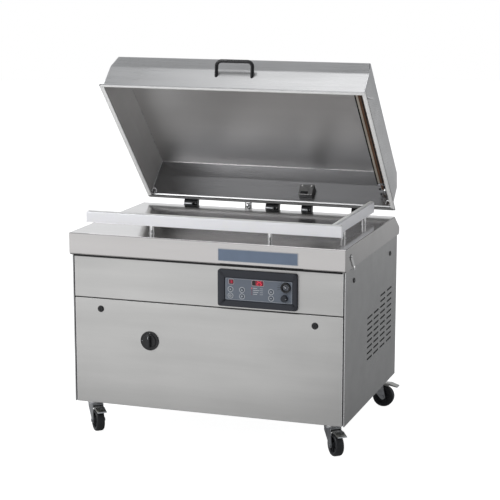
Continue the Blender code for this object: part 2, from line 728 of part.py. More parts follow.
def make_hinge_base(tag, x, width):
    """Cabinet half of a hinge: a block with two ears, and the pin through them."""
    centre = (FRONT_Y + HINGE_DEPTH, HINGE_HEIGHT)
    half = width / 2
    floor = HINGE_HEIGHT - 0.036
    low = (x - half, centre[0] - 0.014, floor)
    high = (x + half, centre[0] + 0.014, HINGE_HEIGHT - HINGE_KNUCKLE_RADIUS - 0.002)
    base = add_part(f"hinge_base_{tag}", box_mesh(f"hinge_base_{tag}", low, high), "black_plastic")
    pieces = []
    for side in (-1.0, 1.0):
        middle = x + side * (half - HINGE_EAR / 2)
        ear = [(-0.013, -0.020), (0.013, -0.020)]
        ear += arc((0.0, 0.0), HINGE_KNUCKLE_RADIUS + 0.002, 0.0, 180.0, 8)
        name = f"hinge_ear_{tag}_{'left' if side < 0 else 'right'}"
        mesh = outline_mesh(name, [ear], HINGE_EAR - 0.0002, yz_plane(middle, *centre))
        pieces.append(add_cutter(name, mesh))
    pin = rod_mesh(f"hinge_pin_{tag}", HINGE_PIN_RADIUS, (x - half - 0.002, *centre),
                   (x + half + 0.002, *centre), X_AXIS, 16)
    pieces.append(add_cutter(f"hinge_pin_{tag}", pin))
    boolean(base, "UNION", pieces)


# ---------------------------------------------------------------- gas spring

def spring_geometry():
    """Lower pivot, upper pivot with the lid open, and the unit vector between them."""
    foot = Vector((SPRING_X, FRONT_Y + SPRING_FOOT[0], SPRING_FOOT[1]))
    turn = Matrix.Rotation(-LID_OPEN_ANGLE, 3, "X")
    head = turn @ Vector((0.0, *SPRING_HEAD))
    head += Vector((SPRING_X, FRONT_Y + HINGE_DEPTH, HINGE_HEIGHT))
    return foot, head, (head - foot).normalized()


def make_gas_spring():
    foot, head, direction = spring_geometry()
    tilt = -math.atan2(direction.y, direction.z)
    axis = add_empty("gas_spring_axis", foot, (tilt, 0.0, 0.0))
    length = (head - foot).length
    bore = SPRING_ROD_RADIUS + 0.0005
    tube_foot = 0.010
    profile = ((bore, SPRING_TUBE_LENGTH), (SPRING_TUBE_RADIUS - 0.002, SPRING_TUBE_LENGTH),
               (SPRING_TUBE_RADIUS, SPRING_TUBE_LENGTH - 0.003), (SPRING_TUBE_RADIUS, tube_foot),
               (0.006, tube_foot - 0.004), (0.006, -0.006), (0.0, -0.006), (0.0, 0.100),
               (bore, 0.100))
    tube = turned_part("gas_spring_tube", profile, "black_plastic", axis, (0, 0, 0), (0, 0, 0), 20)
    tube.data.name = "gas_spring_tube"
    stem = rod_mesh("gas_spring_rod", SPRING_ROD_RADIUS, (0, 0, 0.125),
                    (0, 0, length - SPRING_EYE_BORE - 0.001), segments=16)
    rod = add_part("gas_spring_rod", stem, "polished_steel", axis)
    eye = outline_mesh("gas_spring_eye", [circle((0, length), SPRING_EYE_RADIUS, 24),
                                          circle((0, length), SPRING_EYE_BORE, 20)],
                       0.006, yz_plane(0.0))
    boolean(rod, "UNION", [add_cutter("gas_spring_eye", eye, axis)])


def make_spring_lug(axis):
    """Bracket on the rear wall whose pin holds the gas spring's eye."""
    pin_depth, pin_height = SPRING_HEAD
    wall = closed(LID_REAR - LID_FLANGE, 0.0)[0] + GAP
    flange_top = closed(0.0, LID_FLANGE_TOP)[1] + GAP
    loop = [(wall + FOLD_CLEARANCE, flange_top), (wall, flange_top + FOLD_CLEARANCE),
            (wall, flange_top + 0.026), (wall + 0.006, flange_top + 0.026)]
    loop += arc((pin_depth + 0.006, pin_height), 0.008, 40.0, -150.0, 8)
    loop += [(closed(LID_REAR, 0.0)[0] + 0.0006, pin_height - 0.002),
             (closed(LID_REAR, 0.0)[0] + 0.0006, flange_top)]
    mesh = outline_mesh("gas_spring_lug", [loop], 0.005, yz_plane(SPRING_X + 0.008))
    lug = add_part("gas_spring_lug", mesh, "polished_steel", axis)
    pin = rod_mesh("lug_pin", LUG_PIN_RADIUS, (SPRING_X - 0.006, pin_depth, pin_height),
                   (SPRING_X + 0.009, pin_depth, pin_height), X_AXIS, 14)
    boolean(lug, "UNION", [add_cutter("lug_pin", pin, axis)])


# ---------------------------------------------------------------- controls

def face_plate(name, low, high, radius, back, thickness, slot, holes=()):
    """A plate on the front, its back at the given distance proud of the panel."""
    matrix = xz_plane(-back - thickness / 2)
    mesh = outline_mesh(name, [rounded_rectangle(low, high, radius), *holes], thickness, matrix)
    return add_part(name, mesh, slot)


def make_controls():
    plate_low, plate_high = (PLATE_X[0], PLATE_Z[0]), (PLATE_X[1], PLATE_Z[1])
    bezel = face_plate("control_bezel", (BEZEL_X[0], BEZEL_Z[0]), (BEZEL_X[1], BEZEL_Z[1]),
                       0.010, GAP, BEZEL_DEPTH, "charcoal_plastic")
    bevel(bezel, 0.001, segments=2)
    plate_back = GAP + BEZEL_DEPTH + GAP
    key_holes = [circle((x, z), KEY_RADIUS + 0.0004, 16) for x in KEY_X for z in KEY_Z]
    face_plate("control_panel_plate", plate_low, plate_high, 0.003, plate_back, PLATE_DEPTH,
               "membrane", key_holes)
    for column, x in enumerate(KEY_X):
        for row, z in enumerate(KEY_Z):
            name = f"key_{column * len(KEY_Z) + row + 1}"
            add_turned_control(name, x, z, plate_back + 0.0011,
                               [(0.0, KEY_HEIGHT), (KEY_RADIUS - 0.0006, KEY_HEIGHT),
                                (KEY_RADIUS, KEY_HEIGHT - 0.0006), (KEY_RADIUS, 0.0), (0.0, 0.0)],
                               "white_plastic", 16)
    face = plate_back + PLATE_DEPTH + GAP
    make_gauge(face)
    add_turned_control("soft_air_knob", *AIR_KNOB_CENTRE, face,
                       [(0.0, 0.013), (AIR_KNOB_RADIUS - 0.002, 0.013),
                        (AIR_KNOB_RADIUS - 0.001, 0.012), (AIR_KNOB_RADIUS, 0.002),
                        (AIR_KNOB_RADIUS, 0.0), (0.0, 0.0)], "black_plastic", 24)


def add_turned_control(name, x, z, proud, profile, slot, steps):
    """A turned control whose axis points out of the front."""
    location = (x, FRONT_Y - proud, z)
    return turned_part(name, profile, slot, None, location, (math.radians(90), 0.0, 0.0), steps)


def make_gauge(face):
    """Vacuum gauge: a cupped body, open in front, and its pointer on a short staff."""
    x, z = GAUGE_CENTRE
    body = [(GAUGE_RADIUS - 0.002, 0.006), (GAUGE_RADIUS - 0.0005, 0.006),
            (GAUGE_RADIUS, 0.0055), (GAUGE_RADIUS, 0.0), (0.0, 0.0), (0.0, 0.0012),
            (GAUGE_RADIUS - 0.002, 0.0012)]
    add_turned_control("gauge_body", x, z, face, body, "black_plastic", 32)
    reach = GAUGE_RADIUS - 0.0045
    loop = [(-0.0012, -0.004), (0.0012, -0.004), (0.0005, reach), (-0.0005, reach)]
    level = face + 0.0030
    matrix = Matrix.Translation((x, FRONT_Y - level, z)) @ Y_AXIS
    turn = Matrix.Rotation(math.radians(50), 4, "Z")
    needle = add_part("gauge_needle", outline_mesh("gauge_needle", [loop], 0.0006, matrix @ turn),
                      "black_plastic")
    staff = rod_mesh("needle_staff", 0.0018, (x, FRONT_Y - level - 0.0010, z),
                     (x, FRONT_Y - level + 0.0012, z), Y_AXIS, 12)
    boolean(needle, "UNION", [add_cutter("needle_staff", staff)])


def make_name_plate():
    low = (0.0525, CABINET_BOTTOM + 0.548)
    high = (0.3355, CABINET_BOTTOM + 0.5905)
    matrix_depth = -DECK_FRONT + GAP
    face_plate("name_plate", low, high, 0.002, matrix_depth, 0.0012, "blue_label")


def make_main_switch():
    """Rotary main switch: round plate and a barred knob."""
    x, z = SWITCH_CENTRE
    plate = [(0.0, 0.003), (SWITCH_RADIUS - 0.001, 0.003), (SWITCH_RADIUS, 0.002),
             (SWITCH_RADIUS, 0.0), (0.0, 0.0)]
    add_turned_control("main_switch_plate", x, z, GAP, plate, "black_plastic", 32)
    base = GAP + 0.003 + GAP
    disc = [(0.0, 0.004), (0.022, 0.004), (0.024, 0.0025), (0.024, 0.0), (0.0, 0.0)]
    knob = add_turned_control("main_switch_knob", x, z, base, disc, "black_plastic", 32)
    low = (x - 0.006, FRONT_Y - base - 0.016, z - 0.0225)
    high = (x + 0.006, FRONT_Y - base - 0.001, z + 0.0225)
    grip = box_mesh("main_switch_grip", low, high)
    grip_object = add_cutter("main_switch_grip", grip)
    bevel(grip_object, 0.003, segments=2)
    boolean(knob, "UNION", [grip_object])


def make_locks():
    """Quarter-turn locks of the lower panel, each with a slot for a key."""
    for side, x in LOCK_CENTRES.items():
        profile = [(0.0, 0.004), (LOCK_RADIUS - 0.0015, 0.004), (LOCK_RADIUS, 0.0025),
                   (LOCK_RADIUS, 0.0), (0.0, 0.0)]
        lock = add_turned_control(f"panel_lock_{side}", x, LOCK_Z, GAP, profile, "black_plastic", 24)
        low = (x - 0.0012, FRONT_Y - 0.010, LOCK_Z - 0.006)
        high = (x + 0.0012, FRONT_Y - GAP - 0.0022, LOCK_Z + 0.006)
        slot = add_cutter(f"lock_slot_{side}", box_mesh(f"lock_slot_{side}", low, high))
        boolean(lock, "DIFFERENCE", [slot])


def make_hook():
    """Transport hook, hanging on its screw beside the front of the deck."""
    half = HOOK_WIDTH / 2
    notch = STUD_RADIUS + 0.0012
    tip = HOOK_REACH + 0.013
    loop = arc((0.0, 0.0), half, 90.0, 270.0, 8)
    loop += [(tip - half, -half)] + arc((tip - half, 0.0), half, -80.0, 90.0, 7)
    loop += [(HOOK_REACH + notch, half)]
    loop += arc((HOOK_REACH, 0.0), notch, 0.0, -180.0, 8)
    loop += [(HOOK_REACH - notch, half)]
    x = DECK_HALF_WIDTH + 0.0006 + HOOK_PLATE / 2
    matrix = yz_plane(x, FRONT_Y + HOOK_PIVOT[0], HOOK_PIVOT[1])
    turn = Matrix.Rotation(HOOK_REST_ANGLE, 4, "Z")
    hook = add_part("transport_hook", outline_mesh("transport_hook", [loop], HOOK_PLATE, matrix @ turn),
                    "zinc")
    start = (x + HOOK_PLATE / 2 - 0.0005, FRONT_Y + HOOK_PIVOT[0], HOOK_PIVOT[1])
    end = (x + HOOK_PLATE / 2 + 0.003, FRONT_Y + HOOK_PIVOT[0], HOOK_PIVOT[1])
    screw = rod_mesh("hook_screw", 0.0055, start, end, X_AXIS, 16, end_radius=0.0040)
    boolean(hook, "UNION", [add_cutter("hook_screw", screw)])


# ---------------------------------------------------------------- inside the cabinet

def make_inside():
    """Vacuum pump with its motor, and the transformer that heats the seal bars."""
    floor = CABINET_BOTTOM + 0.002 + GAP
    low = (-0.26, FRONT_Y + 0.30, floor)
    pump = add_part("vacuum_pump", box_mesh("vacuum_pump", low, (0.02, FRONT_Y + 0.50, 0.30)),
                    "painted_pump")
    bevel(pump, 0.010, segments=2)
    motor = rod_mesh("pump_motor", 0.075, (0.0, FRONT_Y + 0.40, 0.215),
                     (0.28, FRONT_Y + 0.40, 0.215), X_AXIS, 28)
    boolean(pump, "UNION", [add_cutter("pump_motor", motor)])
    transformer = box_mesh("seal_transformer", (-0.43, FRONT_Y + 0.12, floor),
                           (-0.30, FRONT_Y + 0.24, floor + 0.12))
    core = add_part("seal_transformer", transformer, "varnished_windings")
    bevel(core, 0.004, segments=1)
    gland = [(0.0045, 0.014), (0.008, 0.014), (0.011, 0.010), (0.011, GAP), (0.008, GAP),
             (0.008, -0.012), (0.0045, -0.012)]
    turned_part("cable_gland", gland, "black_plastic", None,
                (-0.40, FRONT_Y + CABINET_DEPTH - 0.0022, 0.20), (math.radians(-90), 0, 0), 20)


# ---------------------------------------------------------------- casters

def make_fork(place, axis):
    """Pressed fork: bearing head, crown, two legs and the axle bolt."""
    leg_middle = FORK_LEG_INSIDE + FORK_LEG / 2
    crown_low = (-0.024, -leg_middle - FORK_LEG / 2, FORK_CROWN)
    crown_high = (0.030, leg_middle + FORK_LEG / 2, FORK_CROWN + 0.003)
    fork = add_part(f"caster_fork_{place}", box_mesh("fork", crown_low, crown_high), "zinc", axis)
    head = rod_mesh(f"fork_head_{place}", 0.026, (0, 0, FORK_CROWN + 0.001), (0, 0, PLATE_BOTTOM - 0.0005),
                    segments=24, end_radius=0.023)
    pieces = [add_cutter(f"fork_head_{place}", head, axis)]
    loop = [(-0.024, FORK_CROWN + 0.002), (-0.022, 0.080)]
    loop += arc((CASTER_TRAIL, WHEEL_RADIUS), 0.010, 215.0, 360.0, 7)
    loop += [(0.034, 0.070), (0.030, FORK_CROWN + 0.002)]
    for side in (-1.0, 1.0):
        name = f"fork_leg_{place}_{'inner' if side < 0 else 'outer'}"
        matrix = Matrix.Translation((0.0, side * leg_middle, 0.0)) @ Y_AXIS
        pieces.append(add_cutter(name, outline_mesh(name, [loop], FORK_LEG - 0.0001, matrix), axis))
    reach = leg_middle + 0.005
    axle = rod_mesh(f"fork_axle_{place}", AXLE_RADIUS, (CASTER_TRAIL, -reach, WHEEL_RADIUS),
                    (CASTER_TRAIL, reach, WHEEL_RADIUS), Y_AXIS, 16)
    pieces.append(add_cutter(f"fork_axle_{place}", axle, axis))
    boolean(fork, "UNION", pieces)


def make_wheel(place, axis):
    """Black tread on a black plastic rim, one turned piece with a running bore."""
    bore, hub, rim = AXLE_RADIUS + 0.0003, 0.012, 0.030
    half, edge = WHEEL_HALF_WIDTH, WHEEL_HALF_WIDTH - 0.005
    hub_half = FORK_LEG_INSIDE - 0.0012
    profile = [(bore, hub_half), (hub, hub_half), (hub + 0.001, 0.006), (rim, 0.006),
               (rim + 0.001, half - 0.001), (0.036, half), (WHEEL_RADIUS - 0.0008, edge),
               (WHEEL_RADIUS, 0.0), (WHEEL_RADIUS - 0.0008, -edge), (0.036, -half),
               (rim + 0.001, -half + 0.001), (rim, -0.006), (hub + 0.001, -0.006),
               (hub, -hub_half), (bore, -hub_half)]
    turned_part(f"caster_wheel_{place}", profile, "rubber", axis,
                (CASTER_TRAIL, 0.0, WHEEL_RADIUS), (math.radians(90), 0.0, 0.0), 24)


def make_pedal(place, axis):
    """Brake pedal that rocks over the wheel."""
    px, pz = PEDAL_PIVOT
    loop = arc((px, pz), 0.0035, 90.0, 270.0, 5)
    loop += [(0.056, pz - 0.0040), (0.082, 0.0795), (0.086, 0.0815), (0.058, 0.0912)]
    matrix = Y_AXIS
    mesh = outline_mesh(f"brake_pedal_{place}", [loop], 0.034, matrix)
    add_part(f"brake_pedal_{place}", mesh, "zinc", axis)


def make_casters():
    for place, x, y in caster_places():
        turn = math.radians(CASTER_ANGLES[place])
        axis = add_empty(f"caster_axis_{place}", (x, y, 0.0), (0.0, 0.0, turn))
        make_fork(place, axis)
        make_wheel(place, axis)
        make_pedal(place, axis)


clear_scene()
part_collection = new_collection(OBJECT_NAME)
cutter_collection = new_collection("cutters")
make_cabinet()
make_deck()
make_deck_bars()
make_lid()
make_gas_spring()
make_controls()
make_name_plate()
make_main_switch()
make_locks()
make_hook()
make_inside()
make_casters()
bpy.context.view_layer.update()
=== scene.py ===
"""Vacuum packing machine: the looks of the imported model.

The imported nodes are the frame. They keep their shapes and get procedural materials, and the
fine pieces (beads, screws, gauge, displays, wheels, knobs) are built here around them.
Lengths are in metres, and a piece's name says where on the machine it sits.
"""
import json
import math
import random

import bmesh
import bpy
from mathutils import Matrix, Vector


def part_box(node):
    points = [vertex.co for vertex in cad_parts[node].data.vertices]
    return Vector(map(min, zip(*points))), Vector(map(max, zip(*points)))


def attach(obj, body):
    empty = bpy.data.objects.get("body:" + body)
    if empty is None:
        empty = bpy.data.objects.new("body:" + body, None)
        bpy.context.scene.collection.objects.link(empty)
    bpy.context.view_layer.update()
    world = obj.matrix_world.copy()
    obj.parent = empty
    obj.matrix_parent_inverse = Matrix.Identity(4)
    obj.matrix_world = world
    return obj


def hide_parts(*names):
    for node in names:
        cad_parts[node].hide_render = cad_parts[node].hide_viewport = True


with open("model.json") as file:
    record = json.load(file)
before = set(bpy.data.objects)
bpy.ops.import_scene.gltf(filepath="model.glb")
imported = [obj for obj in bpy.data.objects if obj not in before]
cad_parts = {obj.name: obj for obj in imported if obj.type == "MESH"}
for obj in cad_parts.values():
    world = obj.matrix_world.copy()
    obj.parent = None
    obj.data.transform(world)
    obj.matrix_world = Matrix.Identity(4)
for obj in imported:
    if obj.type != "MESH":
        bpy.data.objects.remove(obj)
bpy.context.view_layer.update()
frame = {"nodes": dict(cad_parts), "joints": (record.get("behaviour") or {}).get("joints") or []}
nodes = frame["nodes"]
chance = random.Random(7)

# ---------------------------------------------------------------- places, from the frame

PANEL_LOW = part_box("front_lower_panel")[0]
FRONT = PANEL_LOW.y                             # outer face of the front panels
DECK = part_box("deck_plate")[1].z                # top of the deck
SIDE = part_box("right_side_panel")[1].x          # outer face of the right side panel
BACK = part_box("rear_panel")[1].y
HINGE = next(joint for joint in frame["joints"] if joint["name"] == "lid_hinge")
PIVOT = Vector(HINGE["pos_m"])
LID_ANGLE = math.radians(HINGE["range_deg"][1])
OPENING = Matrix.Translation(PIVOT) @ Matrix.Rotation(-LID_ANGLE, 4, "X") @ Matrix.Translation(-PIVOT)

# With the lid closed, places on it are x, the depth behind the front and the height above the deck.
LID_SPACE = OPENING @ Matrix.Translation((0, FRONT, DECK))
LID_WALL_X = 0.4808                             # insides of the lid's end, front and rear walls
LID_WALL_FRONT = 0.019
LID_WALL_REAR = 0.6513
LID_BEND = 0.1005                               # where the walls start to lean in, up to the roof
LID_ROOF = 0.160
LID_SLOPE_FRONT = 0.0142
LID_SLOPE_SIDE = 0.0098
SEAL_UNDER = 0.0770                             # underside and ends of the right seal bar
SEAL_ENDS = (0.090, 0.610)
SEAL_FRONT_ENDS = (-0.438, 0.403)               # ends of the front one
PORT_ENDS = (0.115, 0.171)                      # the port block, and its face in front of the wall
PORT_FACE = LID_WALL_REAR - 0.0206
STUD = (0.0500, 0.0177)                         # depth and height of the stud on the lid's end wall

INK = 0.0002                                    # thickness of print and film
FRONT_HALF = 0.487                              # half the width of the front panels
SKIRT_EDGE = 0.6440                             # lower edge of the deck's skirt
PEDAL_TIP = 0.0872
WHEEL_RADIUS = 0.0400

TO_FRONT = Matrix.Rotation(math.radians(90), 4, "X")
TO_RIGHT = Matrix.Rotation(math.radians(90), 4, "Z") @ TO_FRONT
TO_BACK = Matrix.Rotation(math.radians(180), 4, "Z") @ TO_FRONT
DOWN = Matrix.Rotation(math.radians(180), 4, "X")
LEVEL = Matrix.Identity(4)


def facing(turn, x, y, z):
    """Frame at a place whose local +Z points out of the front, right side or back."""
    return Matrix.Translation((x, y, z)) @ turn


def on_lid(x, depth, height):
    """Point on the lid where it is now, from its place with the lid closed."""
    return OPENING @ Vector((x, FRONT + depth, DECK + height))


def lid_frame(x, depth, height, turn=LEVEL):
    return OPENING @ Matrix.Translation((x, FRONT + depth, DECK + height)) @ turn


def face_round(node):
    """Middle and radius of a round node on the front, and how far its back and face stand out."""
    low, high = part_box(node)
    return (low.x + high.x) / 2, (low.z + high.z) / 2, (high.x - low.x) / 2, FRONT - high.y, FRONT - low.y


def face_plate(node):
    """Middle and half sizes of a flat node on the front, and how far its face stands out."""
    low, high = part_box(node)
    middle = ((low.x + high.x) / 2, (low.z + high.z) / 2)
    return middle, ((high.x - low.x) / 2, (high.z - low.z) / 2), FRONT - low.y


# ---------------------------------------------------------------- materials

def math_node(tree, operation, first, second):
    """Arithmetic on two numbers, or on the outputs of other nodes."""
    node = tree.nodes.new("ShaderNodeMath")
    node.operation = operation
    for socket, value in zip(node.inputs, (first, second)):
        if isinstance(value, float):
            socket.default_value = value
        else:
            tree.links.new(value, socket)
    return node.outputs["Value"]


def ramp(tree, source, start, end, low, high):
    """Maps the range start to end of an output to the range low to high."""
    node = tree.nodes.new("ShaderNodeMapRange")
    for socket, value in (("From Min", start), ("From Max", end), ("To Min", low), ("To Max", high)):
        node.inputs[socket].default_value = value
    tree.links.new(source, node.inputs["Value"])
    return node.outputs["Result"]


class Shader:
    """A Principled material and short names for the nodes that feed it."""

    def __init__(self, name, colour, roughness, metallic=0.0, **sockets):
        self.material = bpy.data.materials.new(name)
        self.material.use_nodes = True
        self.tree = self.material.node_tree
        self.principled = self.tree.nodes["Principled BSDF"]
        self.principled.inputs["Base Color"].default_value = (*colour, 1.0)
        self.principled.inputs["Roughness"].default_value = roughness
        self.principled.inputs["Metallic"].default_value = metallic
        for socket, value in sockets.items():
            self.principled.inputs[socket.replace("_", " ")].default_value = value
        self.material.diffuse_color = (*colour, 1.0)
        self.coordinates = self.tree.nodes.new("ShaderNodeTexCoord")

    def link(self, source, target):
        self.tree.links.new(source, target)

    def noise(self, scale, stretch=(1.0, 1.0, 1.0), detail=3.0, roughness=0.55):
        mapping = self.tree.nodes.new("ShaderNodeMapping")
        mapping.inputs["Scale"].default_value = stretch
        self.link(self.coordinates.outputs["Object"], mapping.inputs["Vector"])
        texture = self.tree.nodes.new("ShaderNodeTexNoise")
        texture.inputs["Scale"].default_value = scale
        texture.inputs["Detail"].default_value = detail
        texture.inputs["Roughness"].default_value = roughness
        self.link(mapping.outputs["Vector"], texture.inputs["Vector"])
        return texture.outputs["Fac"]

    def spread(self, source, low, high, start=0.3, end=0.7):
        """Maps a noise value to the range low to high."""
        return ramp(self.tree, source, start, end, low, high)

    def math(self, operation, first, second):
        return math_node(self.tree, operation, first, second)

    def mix(self, factor, first, second):
        """Colour between two colours, or between the outputs of two nodes."""
        node = self.tree.nodes.new("ShaderNodeMix")
        node.data_type = "RGBA"
        self.link(factor, node.inputs["Factor"])
        for socket, value in ((node.inputs[6], first), (node.inputs[7], second)):
            if isinstance(value, tuple):
                socket.default_value = (*value, 1.0)
            else:
                self.link(value, socket)
        return node.outputs[2]

    def across(self):
        """1 where the surface faces along X, 0 elsewhere."""
        split = self.tree.nodes.new("ShaderNodeSeparateXYZ")
        self.link(self.coordinates.outputs["Normal"], split.inputs["Vector"])
        size = self.math("ABSOLUTE", split.outputs["X"], 0.0)
        return self.spread(size, 0.0, 1.0, 0.6, 0.8)

    def colour(self, source):
        self.link(source, self.principled.inputs["Base Color"])

    def rough(self, source):
        self.link(source, self.principled.inputs["Roughness"])

    def bump(self, source, strength, distance):
        node = self.tree.nodes.new("ShaderNodeBump")
        node.inputs["Strength"].default_value = strength
        node.inputs["Distance"].default_value = distance
        self.link(source, node.inputs["Height"])
        self.link(node.outputs["Normal"], self.principled.inputs["Normal"])


def shade(colour, factor):
    return tuple(channel * factor for channel in colour)


def steel(name, colour, roughness, grain=0.10, bump=0.10, cloud=0.05, tone=0.05, metallic=1.0):
    """Sheet steel brushed along X, and along Y where it faces sideways."""
    shader = Shader(name, colour, roughness, metallic)
    along_x = shader.noise(1.0, (5.0, 900.0, 900.0), 4.0, 0.7)
    along_y = shader.noise(1.0, (900.0, 5.0, 900.0), 4.0, 0.7)
    fine = shader.mix(shader.across(), along_x, along_y)
    patches = shader.noise(3.2, (1.0, 1.0, 2.0), 2.0)
    wide = shader.noise(1.0, (1.1, 14.0, 14.0), 3.0)
    shader.colour(shader.mix(shader.spread(wide, 0.0, 1.0), shade(colour, 1.0 - tone),
                             shade(colour, 1.0 + tone)))
    streaks = shader.spread(fine, roughness - grain, roughness + grain)
    shader.rough(shader.math("ADD", streaks, shader.spread(patches, -cloud, cloud)))
    shader.bump(fine, bump, 0.0002)
    return shader.material


def plain_metal(name, colour, roughness, mottle=0.08, scale=60.0, bump=0.05):
    """Cast, plated or machined metal with an even fine mottle."""
    shader = Shader(name, colour, roughness, 1.0)
    patches = shader.noise(scale, detail=4.0)
    shader.colour(shader.mix(shader.spread(patches, 0.0, 1.0), shade(colour, 1.0 - mottle),
                             shade(colour, 1.0 + mottle)))
    shader.rough(shader.spread(patches, roughness - 0.06, roughness + 0.08))
    shader.bump(shader.noise(scale * 12.0), bump, 0.0001)
    return shader.material


def plastic(name, colour, roughness, grain=900.0, bump=0.12, wear=0.25, **sockets):
    """Moulded plastic, film or rubber: fine grain, with slightly lighter worn patches."""
    shader = Shader(name, colour, roughness, 0.0, **sockets)
    patches = shader.noise(18.0, detail=5.0)
    shader.colour(shader.mix(shader.spread(patches, 0.0, 1.0, 0.35, 0.75), colour,
                             shade(colour, 1.0 + wear)))
    shader.rough(shader.spread(patches, roughness - 0.05, roughness + 0.07))
    shader.bump(shader.noise(grain, detail=2.0), bump, 0.0001)
    return shader.material


def woven(name, colour, roughness):
    """Coated glass cloth: a fine plain weave under a slightly uneven colour."""
    shader = Shader(name, colour, roughness, 0.0)
    patches = shader.noise(25.0, (1.0, 0.25, 1.0), 4.0)
    shader.colour(shader.mix(shader.spread(patches, 0.0, 1.0), shade(colour, 0.75),
                             shade(colour, 1.25)))
    threads = [shader.noise(1.0, stretch, 0.0) for stretch in ((1500.0, 60.0, 60.0), (60.0, 1500.0, 60.0))]
    shader.bump(shader.math("MULTIPLY", *threads), 0.3, 0.0002)
    return shader.material


def glowing(name, colour, strength):
    shader = Shader(name, colour, 0.4)
    shader.principled.inputs["Emission Color"].default_value = (*colour, 1.0)
    shader.principled.inputs["Emission Strength"].default_value = strength
    shader.rough(shader.spread(shader.noise(400.0), 0.35, 0.45))
    return shader.material


LOOKS = {
    "panel": steel("panel_steel", (0.645, 0.64, 0.63), 0.40, grain=0.06, bump=0.06),
    "side": steel("side_steel", (0.50, 0.50, 0.50), 0.36, grain=0.06, bump=0.05),
    "lid": steel("lid_steel", (0.60, 0.60, 0.605), 0.32, grain=0.08, bump=0.08, tone=0.06),
    # Copies of the lid steel for the lid's inside: the roof and end walls are lighter (painted light) and
    # the rear wall is darker (painted shade).
    "lid_roof": steel("lid_roof_steel_painted_light", (0.83, 0.825, 0.82), 0.40, grain=0.03, bump=0.015, cloud=0.02,
                      tone=0.02),
    "lid_rear": steel("lid_rear_steel_painted_shade", (0.35, 0.35, 0.36), 0.24, grain=0.04, bump=0.015, cloud=0.03,
                      tone=0.02),
    "lid_end": steel("lid_end_steel_painted_light", (0.90, 0.89, 0.88), 0.42, grain=0.04, bump=0.02, cloud=0.03, tone=0.03,
                     metallic=0.45),
    "deck": steel("deck_steel", (0.595, 0.58, 0.575), 0.13, grain=0.04, bump=0.03, cloud=0.03),
    "polished": plain_metal("polished_steel", (0.74, 0.74, 0.75), 0.16, 0.04, 30.0, 0.02),
    "bead": plain_metal("weld_bead", (0.86, 0.86, 0.87), 0.28, 0.10, 220.0, 0.20),
    "aluminium": plain_metal("anodised_aluminium", (0.97, 0.97, 1.00), 0.42, 0.02, 40.0, 0.04),
    "chrome": plain_metal("chromed_rod", (0.90, 0.90, 0.90), 0.08, 0.02, 40.0, 0.01),
    "port": plain_metal("port_steel", (0.20, 0.20, 0.20), 0.30, 0.10, 60.0, 0.04),
    "pedal": plain_metal("pedal_plate", (0.50, 0.50, 0.48), 0.20, 0.10, 70.0, 0.06),
    "zinc": plain_metal("zinc_plate", (0.55, 0.56, 0.58), 0.34, 0.12, 90.0, 0.10),
    "black": plastic("black_plastic", (0.016, 0.016, 0.018), 0.38),
    "handle": plastic("handle_black", (0.010, 0.010, 0.012), 0.20, 500.0, 0.05),
    "charcoal": plastic("charcoal_plastic", (0.027, 0.030, 0.040), 0.50, 700.0, 0.20),
    "membrane": plastic("membrane_film", (0.165, 0.190, 0.235), 0.40, 1500.0, 0.04, 0.10),
    "label": plastic("blue_label", (0.172, 0.225, 0.318), 0.36, 1500.0, 0.04, 0.12),
    "pale": plastic("pale_print", (0.55, 0.57, 0.60), 0.45, 900.0, 0.05, 0.05),
    "print": plastic("white_print", (0.72, 0.74, 0.77), 0.45, 900.0, 0.04, 0.03),
    "key": plastic("key_film", (0.125, 0.145, 0.180), 0.42, 900.0, 0.06, 0.10),
    "knob": plastic("knob_grey", (0.030, 0.034, 0.044), 0.60, 600.0, 0.20, 0.15),
    "silicone": plastic("silicone", (0.80, 0.80, 0.79), 0.55, 300.0, 0.15, 0.05),
    # White silicone with a faint glow of its own: painted light on the lid's gasket and lip fins.
    "lip": plastic("lid_silicone_painted_glow", (0.93, 0.93, 0.92), 0.45, 300.0, 0.10, 0.03,
                   Emission_Color=(1.0, 1.0, 1.0, 1.0), Emission_Strength=0.14),
    # Grey copy of the lid silicone: painted shade on the gasket's rear run.
    "rear_lip": plastic("lid_gasket_painted_shade", (0.34, 0.34, 0.34), 0.45, 300.0, 0.10, 0.05),
    "rubber": plastic("tread_rubber", (0.016, 0.017, 0.020), 0.36, 300.0, 0.25, 0.4),
    "gasket": plastic("gasket_rubber", (0.010, 0.010, 0.011), 0.60, 300.0, 0.25),
    "hub": plastic("hub_plastic", (0.022, 0.023, 0.026), 0.42, 500.0, 0.15),
    "tape": woven("ptfe_tape", (0.155, 0.075, 0.038), 0.38),
    "beige": woven("beige_tape", (0.56, 0.51, 0.44), 0.42),
    "paint": plastic("pump_paint", (0.10, 0.12, 0.13), 0.40, 250.0, 0.25),
    "windings": plastic("windings", (0.26, 0.12, 0.06), 0.35, 160.0, 0.40),
    "window": plastic("display_window", (0.012, 0.004, 0.005), 0.16, 900.0, 0.01, 0.1),
    "red": glowing("lit_segment", (0.72, 0.03, 0.06), 1.0),
    "dim_red": glowing("dim_window", (0.13, 0.008, 0.020), 0.8),
    "blush": plastic("pale_outline", (0.60, 0.47, 0.50), 0.45, 900.0, 0.04, 0.03),
    "dial": plastic("dial_face", (0.095, 0.105, 0.130), 0.40, 900.0, 0.03, 0.04),
}


def dress(node, look):
    """Gives a carried node its material."""
    mesh = nodes[node].data
    mesh.materials.clear()
    mesh.materials.append(LOOKS[look])


